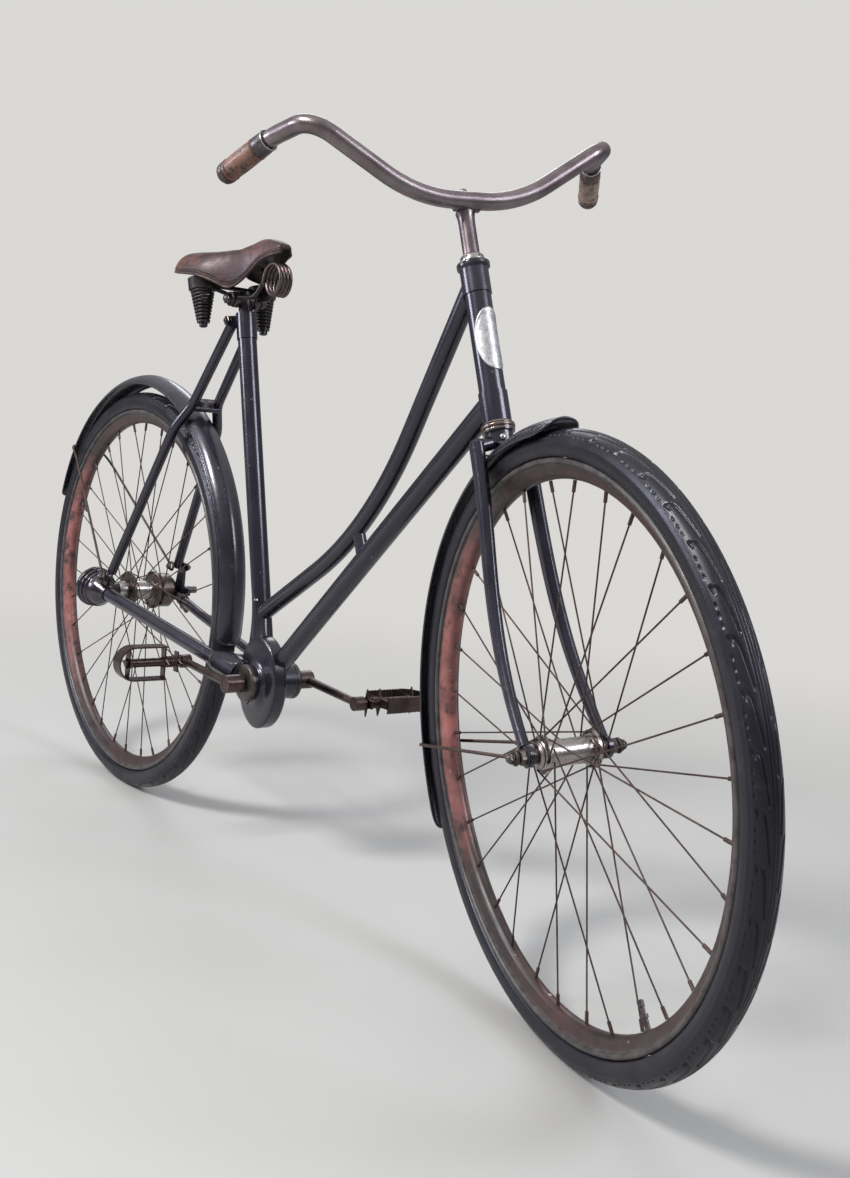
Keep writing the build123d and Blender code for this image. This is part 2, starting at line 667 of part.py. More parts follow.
export_step(left_chain_stay.part, "parts/left_chain_stay.step")


def stay_path(side, foot, radius, mode=Mode.ADD):
    """Adds a seat stay's bar: lug to bridge, spread past the guard, then down to its foot."""
    bent_rod(
        (
            at(SEAT_STAY_TOP[0], side * SEAT_STAY_TOP[1], SEAT_STAY_TOP[2]),
            at(SEAT_STAY_BRIDGE[0], side * SEAT_STAY_BRIDGE[1], SEAT_STAY_BRIDGE[2]),
            at(SEAT_STAY_SPREAD[0], side * SEAT_STAY_SPREAD[1], SEAT_STAY_SPREAD[2]),
            foot,
        ),
        (SEAT_STAY_BEND_RADIUS, SEAT_STAY_BEND_RADIUS),
        radius,
        mode=mode,
    )


# Seat stays: from the sides of the seat lug, apart at the bridge, down to the fork ends
STAY_TABLE = (
    # name, side, foot
    ("seat_stay_right", -1, RIGHT_EYE + Vector(0, BELL_EAR_HALF_WIDTH, SEAT_STAY_RADIUS)),
    ("seat_stay_left", 1, LEFT_EAR - ACROSS * (SEAT_STAY_RADIUS + SEAT_GAP)),
)
stays = {}
for name, side, foot in STAY_TABLE:
    with BuildPart() as seat_stay:
        stay_path(side, foot, SEAT_STAY_RADIUS)
        add(rear_gear_case.part, mode=Mode.SUBTRACT)
        add(left_fork_end.part, mode=Mode.SUBTRACT)
        add(seat_tube.part, mode=Mode.SUBTRACT)
    seat_stay.part.label = name
    export_step(seat_stay.part, "parts/" + name + ".step")
    stays[side] = seat_stay.part

# Bridge between the seat stays: a thick flat plate, which the rear mudguard is bolted to
stay_run = Vector(*SEAT_STAY_TOP) - Vector(*SEAT_STAY_BRIDGE)
BRIDGE_CENTRE = at(SEAT_STAY_BRIDGE[0], 0, SEAT_STAY_BRIDGE[2])
with BuildPart() as stay_bridge:
    with BuildSketch(
        Plane(
            origin=BRIDGE_CENTRE - ACROSS * SEAT_STAY_BRIDGE[1],
            x_dir=Vector(stay_run.Z, 0, -stay_run.X),
            z_dir=ACROSS,
        )
    ) as bridge_section:
        RectangleRounded(BRIDGE_LENGTH, BRIDGE_THICKNESS, BRIDGE_THICKNESS / 3)
    extrude(bridge_section.sketch, amount=2 * SEAT_STAY_BRIDGE[1])
    add(stays[-1], mode=Mode.SUBTRACT)
    add(stays[1], mode=Mode.SUBTRACT)
stay_bridge.part.label = "stay_bridge"
export_step(stay_bridge.part, "parts/stay_bridge.step")


def guard_section(plane, radius, width, crown):
    """Cross-section of a mudguard: a shallow arc, drawn with x outward from the guard's centre."""
    half = width / 2
    edge = radius - crown
    with BuildSketch(plane) as section:
        with BuildLine():
            ThreePointArc((edge, -half), (radius, 0), (edge, half))
            Line((edge, half), (edge, half - GUARD_THICKNESS))
            ThreePointArc(
                (edge, half - GUARD_THICKNESS),
                (radius - GUARD_THICKNESS, 0),
                (edge, -half + GUARD_THICKNESS),
            )
            Line((edge, -half + GUARD_THICKNESS), (edge, -half))
        make_face()
    return section.sketch


def wheel_section_plane(wheel_plane, angle):
    """Plane through the wheel's axle at an angle above the forward direction: x outward, y left."""
    outward = wheel_plane.x_dir * cos(radians(angle)) - wheel_plane.y_dir * sin(radians(angle))
    return Plane(origin=wheel_plane.origin, x_dir=outward, z_dir=outward.cross(wheel_plane.z_dir))


def guard(ring_plane, radius, width, crown, start_angle, end_angle):
    """Adds a mudguard from one angle to the other, round its own centre."""
    section = guard_section(wheel_section_plane(ring_plane, start_angle), radius, width, crown)
    revolve(
        section,
        axis=Axis(ring_plane.origin, -ring_plane.z_dir),
        revolution_arc=end_angle - start_angle,
    )


def guard_edge(ring_plane, radius, angle, side, half_width):
    """A point on a mudguard's edge, moved out sideways by the wire that lies on it."""
    reach = side * (half_width + GUARD_WIRE_RADIUS + SEAT_GAP)
    return ring_plane.from_local_coords(
        Vector(radius * cos(radians(angle)), -radius * sin(radians(angle)), reach)
    )


rear_guard_plane = Plane(
    origin=REAR_HUB + Vector(REAR_GUARD_FORWARD, 0, REAR_GUARD_RISE),
    x_dir=(1, 0, 0),
    z_dir=(0, 1, 0),
)
with BuildPart() as rear_mudguard:
    guard(
        rear_guard_plane,
        REAR_GUARD_RADIUS,
        REAR_GUARD_WIDTH,
        REAR_GUARD_CROWN,
        REAR_GUARD_START,
        REAR_GUARD_END,
    )
    for name, side, foot in STAY_TABLE:
        stay_path(side, foot, SEAT_STAY_RADIUS + SEAT_GAP, mode=Mode.SUBTRACT)
    rod(
        shaft_at(LOWER_BRIDGE_AHEAD),
        LOWER_BRIDGE_END,
        LOWER_BRIDGE_RADIUS + SEAT_GAP,
        mode=Mode.SUBTRACT,
    )
rear_mudguard.part.label = "rear_mudguard"
export_step(rear_mudguard.part, "parts/rear_mudguard.step")

with BuildPart() as front_mudguard:
    guard(
        front_wheel_plane,
        FRONT_GUARD_RADIUS,
        FRONT_GUARD_WIDTH,
        FRONT_GUARD_CROWN,
        FRONT_GUARD_START,
        FRONT_GUARD_END,
    )
    for side in (1, -1):
        with BuildSketch(steered.offset(BLADE_TOP - BLADE_HALF_DEPTH * 5)) as notch:
            with Locations((BLADE_TOP_FORWARD, side * BLADE_SPREAD_TOP)):
                Ellipse(BLADE_HALF_DEPTH + SEAT_GAP, BLADE_HALF_WIDTH + SEAT_GAP)
        extrude(notch.sketch, amount=BLADE_HALF_DEPTH * 6, mode=Mode.SUBTRACT)
front_mudguard.part.label = "front_mudguard"
export_step(front_mudguard.part, "parts/front_mudguard.step")

# Rear axle: the spindle, its nut outside the left plate, the mounting step on its left end,
# and the brake's arm with the clip that holds it to the chain stay
with BuildPart() as rear_axle:
    rod(BELL_CENTRE, at(0, LEFT_PLATE_FACE + STEP_LENGTH / 2, WHEEL_RADIUS), AXLE_RADIUS)
    with BuildSketch(rear_wheel_plane.offset(LEFT_PLATE_FACE)):
        RegularPolygon(AXLE_NUT_RADIUS + 1.5, 6)
    extrude(amount=AXLE_NUT_THICKNESS)
    rod(
        at(0, LEFT_PLATE_FACE + AXLE_NUT_THICKNESS, WHEEL_RADIUS),
        at(0, LEFT_PLATE_FACE + STEP_LENGTH, WHEEL_RADIUS),
        STEP_RADIUS,
    )
    nut_inner = at(0, DRUM_OUTER + 2 * SIDE_GAP, WHEEL_RADIUS)
    rod(nut_inner, at(0, LEFT_PLATE_INNER, WHEEL_RADIUS), AXLE_NUT_RADIUS)
    arm_side = LEFT_PLATE_INNER - SIDE_GAP - BRAKE_ARM_THICKNESS
    arm_tip = at(BRAKE_ARM_TIP[0], arm_side, BRAKE_ARM_TIP[1])
    arm_root = at(0, arm_side, WHEEL_RADIUS)
    for end in (arm_root, arm_tip):
        rod(end, end + ACROSS * BRAKE_ARM_THICKNESS, BRAKE_ARM_WIDTH / 2)
    arm_run = arm_tip - arm_root
    with BuildSketch(Plane(origin=arm_root, x_dir=arm_run, z_dir=ACROSS)) as arm:
        with Locations((arm_run.length / 2, 0)):
            Rectangle(arm_run.length, BRAKE_ARM_WIDTH)
    extrude(arm.sketch, amount=BRAKE_ARM_THICKNESS)
    stay_spot = at(BRAKE_ARM_TIP[0], CHAIN_STAY_SIDE - 0.8, CHAIN_STAY_REAR[1] - 3.0)
    clip_run = (at(*CHAIN_STAY_MIDDLE) - CHAIN_STAY_END).normalized() * (BRAKE_CLIP_WIDTH / 2)
    rod(stay_spot - clip_run, stay_spot + clip_run, CHAIN_STAY_RADIUS + BRAKE_CLIP_WALL)
    add(left_chain_stay.part, mode=Mode.SUBTRACT)
    add(left_fork_end.part, mode=Mode.SUBTRACT)
rear_axle.part.label = "rear_axle"
export_step(rear_axle.part, "parts/rear_axle.step")

# Front axle: spindle with domed nuts outside the fork ends and cone nuts inside them
FORK_EYE_INNER = BLADE_SPREAD_TIP - FORK_EYE_THICKNESS / 2
FORK_EYE_OUTER = BLADE_SPREAD_TIP + FORK_EYE_THICKNESS / 2
with BuildPart() as front_axle:
    rod(on_fork(FORK_RAKE, -FRONT_AXLE_HALF, 0), on_fork(FORK_RAKE, FRONT_AXLE_HALF, 0), AXLE_RADIUS)
    for side in (1, -1):
        with BuildSketch(
            Plane(
                origin=on_fork(FORK_RAKE, side * FORK_EYE_OUTER, 0),
                x_dir=steered.x_dir,
                z_dir=steered.y_dir * side,
            )
        ) as nut:
            RegularPolygon(AXLE_NUT_RADIUS, 6)
        extrude(nut.sketch, amount=AXLE_NUT_THICKNESS)
        rod(
            on_fork(FORK_RAKE, side * (FRONT_HUB_END + SIDE_GAP), 0),
            on_fork(FORK_RAKE, side * FORK_EYE_INNER, 0),
            9.0,
        )
front_axle.part.label = "front_axle"
export_step(front_axle.part, "parts/front_axle.step")

# Fork: steering column, crown with a round arm to each side, two oval blades with square
# shoulders that taper and curve forward, and the axle eyes
CROWN_TOP = HEAD_BOTTOM - SIDE_GAP - RACE_HEIGHT
BLADE_TABLE = (
    # forward, side, height, half depth, half width, lean
    (
        BLADE_TOP_FORWARD,
        BLADE_SPREAD_TOP,
        BLADE_TOP - BLADE_SHOULDER,
        BLADE_HALF_DEPTH,
        BLADE_HALF_WIDTH,
        0.0,
    ),
    (BLADE_TOP_FORWARD, BLADE_SPREAD_TOP, 338.0, BLADE_HALF_DEPTH, BLADE_HALF_WIDTH, 0.0),
    (0.5, 38.0, 232.0, 11.0, 8.2, 0.0),
    (4.0, 43.0, 150.0, 9.5, 7.8, 0.10),
    (16.5, 46.8, 85.0, 7.8, 7.2, 0.28),
    (FORK_RAKE - 4.5, BLADE_SPREAD_TIP, 10.5, BLADE_RADIUS_TIP, BLADE_RADIUS_TIP, 0.45),
)


def blade_section(forward, left, height, half_depth, half_width, lean):
    """Oval section of a fork blade, square to the blade's run."""
    along = steered.z_dir * -1 + steered.x_dir * lean
    section_plane = Plane(origin=on_fork(forward, left, height), x_dir=steered.y_dir, z_dir=along)
    with BuildSketch(section_plane) as section:
        Ellipse(half_width, half_depth)
    return section.sketch.face()


with BuildPart() as fork:
    rod(on_fork(0, 0, CROWN_TOP - 4), on_fork(0, 0, HEAD_TOP + 2), STEERER_RADIUS)
    rod(on_fork(0, 0, CROWN_TOP), on_fork(0, 0, HEAD_BOTTOM - SIDE_GAP), RACE_RADIUS)
    rod(on_fork(0, 0, CROWN_TOP - CROWN_HEIGHT), on_fork(0, 0, CROWN_TOP), CROWN_COLLAR_RADIUS)
    for side in (1, -1):
        cone(
            on_fork(0, 0, CROWN_TOP - CROWN_ARM_RADIUS),
            on_fork(BLADE_TOP_FORWARD, side * BLADE_SPREAD_TOP, BLADE_TOP - CROWN_ARM_END_RADIUS),
            CROWN_ARM_RADIUS,
            CROWN_ARM_END_RADIUS,
        )
        loft([blade_section(row[0], side * row[1], *row[2:]) for row in BLADE_TABLE])
        forward, spread, height, half_depth, half_width, lean = BLADE_TABLE[0]
        small = BLADE_SHOULDER_SHARE
        loft(
            [
                blade_section(forward, side * spread, height, half_depth, half_width, lean),
                blade_section(
                    forward, side * spread, BLADE_TOP, small * half_depth, small * half_width, lean
                ),
            ]
        )
        rod(
            on_fork(FORK_RAKE, side * FORK_EYE_INNER, 0),
            on_fork(FORK_RAKE, side * FORK_EYE_OUTER, 0),
            FORK_EYE_RADIUS,
        )
    rod(
        on_fork(FORK_RAKE, -FORK_EYE_OUTER - 1, 0),
        on_fork(FORK_RAKE, FORK_EYE_OUTER + 1, 0),
        AXLE_RADIUS,
        mode=Mode.SUBTRACT,
    )
    rod(
        on_fork(0, 0, STEERER_BORE_FOOT),
        on_fork(0, 0, HEAD_TOP + 3),
        STEM_RADIUS + SLIP_FIT,
        mode=Mode.SUBTRACT,
    )
fork.part.label = "fork"
export_step(fork.part, "parts/fork.step")

# Lock nut on top of the steering column
with BuildPart() as lock_nut:
    rod(on_fork(0, 0, HEAD_TOP + SIDE_GAP), on_fork(0, 0, HEAD_TOP + LOCK_NUT_HEIGHT), LOCK_NUT_RADIUS)
    rod(on_fork(0, 0, HEAD_TOP), on_fork(0, 0, HEAD_TOP + 2.2), STEERER_RADIUS + 0.2, mode=Mode.SUBTRACT)
    rod(on_fork(0, 0, HEAD_TOP), on_fork(0, 0, HEAD_TOP + 20), STEM_RADIUS + SLIP_FIT, mode=Mode.SUBTRACT)
lock_nut.part.label = "lock_nut"
export_step(lock_nut.part, "parts/lock_nut.step")

# Handlebar: flat at the clamp, a long rise to each side, a tight turn back, and a slight bend
# into the grips. The right half's corners are mirrored for the left.
BAR_HALF = (
    (BAR_END_FORWARD, BAR_END_HALF, BAR_END_HEIGHT),
    (BAR_GRIP_FORWARD, BAR_GRIP_HALF, BAR_GRIP_HEIGHT),
    (BAR_BEND_FORWARD, BAR_BEND_HALF, BAR_BEND_HEIGHT),
    (BAR_FLAT_FORWARD, BAR_FLAT_HALF, BAR_HEIGHT),
)
BAR_RADII = (BAR_GRIP_BEND_RADIUS, BAR_TURN_RADIUS, BAR_RISE_RADIUS)
with BuildPart() as handlebar:
    bent_rod(
        [on_fork(forward, -half, up) for forward, half, up in BAR_HALF]
        + [on_fork(forward, half, up) for forward, half, up in BAR_HALF[::-1]],
        BAR_RADII + BAR_RADII[::-1],
        BAR_RADIUS,
    )
handlebar.part.label = "handlebar"
export_step(handlebar.part, "parts/handlebar.step")

# Stem: a plain column with a sleeve round the middle of the bar and the wedge bolt on top
with BuildPart() as stem:
    rod(on_fork(0, 0, HEAD_TOP - STEM_INSERT), on_fork(0, 0, BAR_HEIGHT), STEM_RADIUS)
    rod(
        on_fork(BAR_FORWARD, -CLAMP_HALF_WIDTH, BAR_HEIGHT),
        on_fork(BAR_FORWARD, CLAMP_HALF_WIDTH, BAR_HEIGHT),
        CLAMP_RADIUS,
    )
    rod(
        on_fork(STEM_BOLT_AHEAD, 0, BAR_HEIGHT),
        on_fork(STEM_BOLT_AHEAD, 0, BAR_HEIGHT + CLAMP_RADIUS + STEM_BOLT_RISE),
        STEM_BOLT_RADIUS,
    )
    add(handlebar.part, mode=Mode.SUBTRACT)
stem.part.label = "stem"
export_step(stem.part, "parts/stem.step")

# Grips: tapered sleeves over the ends of the bar with a domed end cap
for name, side in (("grip_right", -1), ("grip_left", 1)):
    bar_end = on_fork(BAR_END_FORWARD, side * BAR_END_HALF, BAR_END_HEIGHT)
    bar_bend = on_fork(BAR_GRIP_FORWARD, side * BAR_GRIP_HALF, BAR_GRIP_HEIGHT)
    back = (bar_end - bar_bend).normalized()
    body = GRIP_LENGTH - GRIP_END_WALL
    grip_start = bar_end - back * body
    with BuildPart() as grip:
        grip_plane = Plane(origin=grip_start, x_dir=back, z_dir=back.cross(Vector(0, 0, 1)))
        with BuildSketch(grip_plane) as profile:
            with BuildLine():
                Line((0, 0), (0, BAR_RADIUS + GRIP_MOUTH_WALL))
                ThreePointArc(
                    (0, BAR_RADIUS + GRIP_MOUTH_WALL),
                    (0.55 * GRIP_LENGTH, GRIP_RADIUS),
                    (body, GRIP_RADIUS - GRIP_TAPER),
                )
                Polyline(
                    (body, GRIP_RADIUS - GRIP_TAPER),
                    (GRIP_LENGTH, 0.6 * GRIP_RADIUS),
                    (GRIP_LENGTH, 0),
                    (0, 0),
                )
            make_face()
        revolve(profile.sketch, axis=Axis(grip_start, back))
        rod(grip_start - back * 2, bar_end + back * SLIP_FIT, BAR_RADIUS + SLIP_FIT, mode=Mode.SUBTRACT)
    grip.part.label = name
    export_step(grip.part, "parts/" + name + ".step")


def tyre(wheel_plane):
    """Adds a tyre: a round section, cut flat where it sits on the rim."""
    centre = WHEEL_RADIUS - TYRE_WIDTH / 2
    seat_half = sqrt((TYRE_WIDTH / 2) ** 2 - (centre - TYRE_SEAT_RADIUS) ** 2)
    with BuildSketch(wheel_section_plane(wheel_plane, 0)) as section:
        with BuildLine():
            ThreePointArc((TYRE_SEAT_RADIUS, -seat_half), (WHEEL_RADIUS, 0), (TYRE_SEAT_RADIUS, seat_half))
            Line((TYRE_SEAT_RADIUS, seat_half), (TYRE_SEAT_RADIUS, -seat_half))
        make_face()
    revolve(section.sketch, axis=Axis(wheel_plane.origin, wheel_plane.z_dir))


def rim(wheel_plane):
    """Adds a rim with a rolled bead along each edge and a hump in the middle for the nipples."""
    edge = RIM_WIDTH / 2 - RIM_BEAD_RADIUS
    bead_centre = TYRE_SEAT_RADIUS - SEAT_GAP - RIM_BEAD_RADIUS
    half_hump = RIM_HUMP_WIDTH / 2
    foot = half_hump + RIM_WALL
    with BuildSketch(wheel_section_plane(wheel_plane, 0)) as section:
        with BuildLine():
            Polyline(
                (bead_centre, -edge),
                (RIM_CHANNEL_RADIUS + RIM_WALL, -half_hump),
                (RIM_INNER_RADIUS + 2 * RIM_WALL, 0),
                (RIM_CHANNEL_RADIUS + RIM_WALL, half_hump),
                (bead_centre, edge),
                (bead_centre - 2 * RIM_WALL, edge),
                (RIM_CHANNEL_RADIUS, foot),
            )
            ThreePointArc(
                (RIM_CHANNEL_RADIUS, foot),
                (RIM_INNER_RADIUS, 0),
                (RIM_CHANNEL_RADIUS, -foot),
            )
            Polyline(
                (RIM_CHANNEL_RADIUS, -foot),
                (bead_centre - 2 * RIM_WALL, -edge),
                (bead_centre, -edge),
            )
        make_face()
        with Locations((bead_centre, -edge), (bead_centre, edge)):
            Circle(RIM_BEAD_RADIUS)
    revolve(section.sketch, axis=Axis(wheel_plane.origin, wheel_plane.z_dir))


def spokes(wheel_plane, flange_places, flange_radius, flange_thickness):
    """Adds the laced spokes with their nipples; half go to each flange and cross their neighbours."""
    per_flange = SPOKES_PER_WHEEL // 2
    hole_radius = flange_radius - SPOKE_HOLE_INSET
    step = 360.0 / per_flange
    for index in range(SPOKES_PER_WHEEL):
        flange = index % 2
        count = index // 2
        direction = 1 if count % 2 else -1
        outside = 1 if flange else -1
        face_side = outside if count % 2 else -outside
        rim_angle = radians(index * step / 2)
        hole_angle = rim_angle + direction * radians(step * (SPOKE_CROSSES * 1.5 + 0.5))
        lateral = flange_places[flange] + face_side * (flange_thickness / 2 + SPOKE_RADIUS + SPOKE_STAND_OFF)
        start = wheel_plane.from_local_coords(
            Vector(hole_radius * cos(hole_angle), hole_radius * sin(hole_angle), lateral)
        )
        reach = RIM_INNER_RADIUS - SEAT_GAP
        end = wheel_plane.from_local_coords(
            Vector(reach * cos(rim_angle), reach * sin(rim_angle), outside * 1.5)
        )
        along = (end - start).normalized()
        rod(start, end - along * (NIPPLE_LENGTH - 1), SPOKE_RADIUS)
        rod(end - along * NIPPLE_LENGTH, end, NIPPLE_RADIUS)


def hub(wheel_plane, profile_points):
    """Adds a hub shell turned from half-profile points (along the axle, radius) and bored for the axle."""
    turning = Plane(
        origin=wheel_plane.origin,
        x_dir=wheel_plane.z_dir,
        z_dir=wheel_plane.z_dir.cross(wheel_plane.x_dir),
    )
    with BuildSketch(turning) as section:
        with BuildLine():
            Polyline(*profile_points, close=True)
        make_face()
    revolve(section.sketch, axis=Axis(wheel_plane.origin, wheel_plane.z_dir))


FRONT_FLANGES = (-FRONT_FLANGE_SPREAD, FRONT_FLANGE_SPREAD)
REAR_FLANGES = (REAR_RIGHT_FLANGE, REAR_LEFT_FLANGE)
BORE = AXLE_RADIUS + RUNNING_FIT


def hub_half(sign, flange, flange_radius, flange_thickness, barrel, end):
    """Half-profile of a hub from the middle out to one end."""
    half = flange_thickness / 2
    return [
        (sign * 0, barrel),
        (sign * (flange - half - 1.5), barrel),
        (sign * (flange - half), flange_radius),
        (sign * (flange + half), flange_radius),
        (sign * (flange + half + 1.5), barrel),
        (sign * (end - 4), barrel),
        (sign * end, barrel - 3),
        (sign * end, BORE),
    ]


front_profile = hub_half(
    -1, FRONT_FLANGE_SPREAD, FRONT_FLANGE_RADIUS, FRONT_FLANGE_THICKNESS, FRONT_BARREL_RADIUS, FRONT_HUB_END
)[::-1] + hub_half(
    1, FRONT_FLANGE_SPREAD, FRONT_FLANGE_RADIUS, FRONT_FLANGE_THICKNESS, FRONT_BARREL_RADIUS, FRONT_HUB_END
)[1:]
REAR_HALF_FLANGE = REAR_FLANGE_THICKNESS / 2
rear_profile = [
    (HUB_RIGHT_END, BORE),
    (HUB_RIGHT_END, AXLE_NUT_RADIUS),
    (HUB_RIGHT_END + HUB_CAP_LENGTH / 2, HUB_CAP_RADIUS - 2),
    (HUB_RIGHT_END + HUB_CAP_LENGTH, HUB_CAP_RADIUS),
    (REAR_RIGHT_FLANGE - REAR_HALF_FLANGE - 1, HUB_CAP_RADIUS),
    (REAR_RIGHT_FLANGE - REAR_HALF_FLANGE, REAR_FLANGE_RADIUS),
    (REAR_RIGHT_FLANGE + REAR_HALF_FLANGE, REAR_FLANGE_RADIUS),
    (REAR_RIGHT_FLANGE + REAR_HALF_FLANGE + 2, REAR_BARREL_RADIUS),
    (REAR_LEFT_FLANGE - REAR_HALF_FLANGE - 2, REAR_BARREL_RADIUS),
    (REAR_LEFT_FLANGE - REAR_HALF_FLANGE, REAR_FLANGE_RADIUS),
    (REAR_LEFT_FLANGE + REAR_HALF_FLANGE, REAR_FLANGE_RADIUS),
    (REAR_LEFT_FLANGE + REAR_HALF_FLANGE + 3, DRUM_STEP_RADIUS),
    (REAR_LEFT_FLANGE + REAR_HALF_FLANGE + 6, DRUM_RADIUS),
    (DRUM_SHOULDER - 2, DRUM_RADIUS),
    (DRUM_SHOULDER, DRUM_STEP_RADIUS),
    (DRUM_OUTER, DRUM_STEP_RADIUS - 3),
    (DRUM_OUTER, BORE),
]
WHEEL_TABLE = (
    # name, plane, flange places, flange radius, flange thickness, hub profile
    ("front", front_wheel_plane, FRONT_FLANGES, FRONT_FLANGE_RADIUS, FRONT_FLANGE_THICKNESS, front_profile),
    ("rear", rear_wheel_plane, REAR_FLANGES, REAR_FLANGE_RADIUS, REAR_FLANGE_THICKNESS, rear_profile),
)
for name, plane, flanges, flange_radius, thickness, profile in WHEEL_TABLE:
    with BuildPart() as wheel_tyre:
        tyre(plane)
    wheel_tyre.part.label = name + "_tyre"
    export_step(wheel_tyre.part, "parts/" + name + "_tyre.step")
    with BuildPart() as wheel_rim:
        rim(plane)
    wheel_rim.part.label = name + "_rim"
    export_step(wheel_rim.part, "parts/" + name + "_rim.step")
    with BuildPart() as wheel_spokes:
        spokes(plane, flanges, flange_radius, thickness)
    wheel_spokes.part.label = name + "_spokes"
    export_step(wheel_spokes.part, "parts/" + name + "_spokes.step")
    with BuildPart() as wheel_hub:
        hub(plane, profile)
    wheel_hub.part.label = name + "_hub"
    export_step(wheel_hub.part, "parts/" + name + "_hub.step")

# Mudguard wires: hooked on the axle ends or the stays' ears, and lying on the guards' edges
with BuildPart() as front_mudguard_stays:
    for side in (1, -1):
        eye = on_fork(FORK_RAKE, side * (FORK_EYE_OUTER + AXLE_NUT_THICKNESS + STAY_EYE_HALF + SEAT_GAP), 0)
        rod(eye - steered.y_dir * STAY_EYE_HALF, eye + steered.y_dir * STAY_EYE_HALF, GUARD_WIRE_EYE_RADIUS)
        foot = guard_edge(
            front_wheel_plane,
            FRONT_GUARD_RADIUS - FRONT_GUARD_CROWN,
            FRONT_WIRE_ANGLE,
            side,
            FRONT_GUARD_WIDTH / 2,
        )
        rod(eye, foot, GUARD_WIRE_RADIUS)
    rod(
        on_fork(FORK_RAKE, -FRONT_AXLE_HALF - 2, 0),
        on_fork(FORK_RAKE, FRONT_AXLE_HALF + 2, 0),
        AXLE_RADIUS + SLIP_FIT,
        mode=Mode.SUBTRACT,
    )
front_mudguard_stays.part.label = "front_mudguard_stays"
export_step(front_mudguard_stays.part, "parts/front_mudguard_stays.step")

WIRE_EYES = (
    # side, eye's centre: outside the bell's ear on the right, inside the seat stay on the left
    (-1, RIGHT_EYE - ACROSS * (BELL_EAR_HALF_WIDTH + STAY_EYE_HALF + SEAT_GAP)),
    (1, LEFT_EAR - ACROSS * (2 * SEAT_STAY_RADIUS + STAY_EYE_HALF + 2 * SEAT_GAP)),
)
with BuildPart() as rear_mudguard_stays:
    for side, eye in WIRE_EYES:
        rod(eye - ACROSS * STAY_EYE_HALF, eye + ACROSS * STAY_EYE_HALF, GUARD_WIRE_EYE_RADIUS)
        foot = guard_edge(
            rear_guard_plane,
            REAR_GUARD_RADIUS - REAR_GUARD_CROWN,
            REAR_WIRE_ANGLE,
            side,
            REAR_GUARD_WIDTH / 2,
        )
        rod(eye, foot, GUARD_WIRE_RADIUS)
    add(rear_gear_case.part, mode=Mode.SUBTRACT)
    add(stays[-1], mode=Mode.SUBTRACT)
    add(stays[1], mode=Mode.SUBTRACT)
rear_mudguard_stays.part.label = "rear_mudguard_stays"
export_step(rear_mudguard_stays.part, "parts/rear_mudguard_stays.step")

# Crank axle
with BuildPart() as crank_axle:
    rod(
        CRANK_CENTRE - Vector(0, CRANK_AXLE_HALF, 0),
        CRANK_CENTRE + Vector(0, CRANK_AXLE_HALF, 0),
        CRANK_AXLE_RADIUS,
    )
crank_axle.part.label = "crank_axle"
export_step(crank_axle.part, "parts/crank_axle.step")

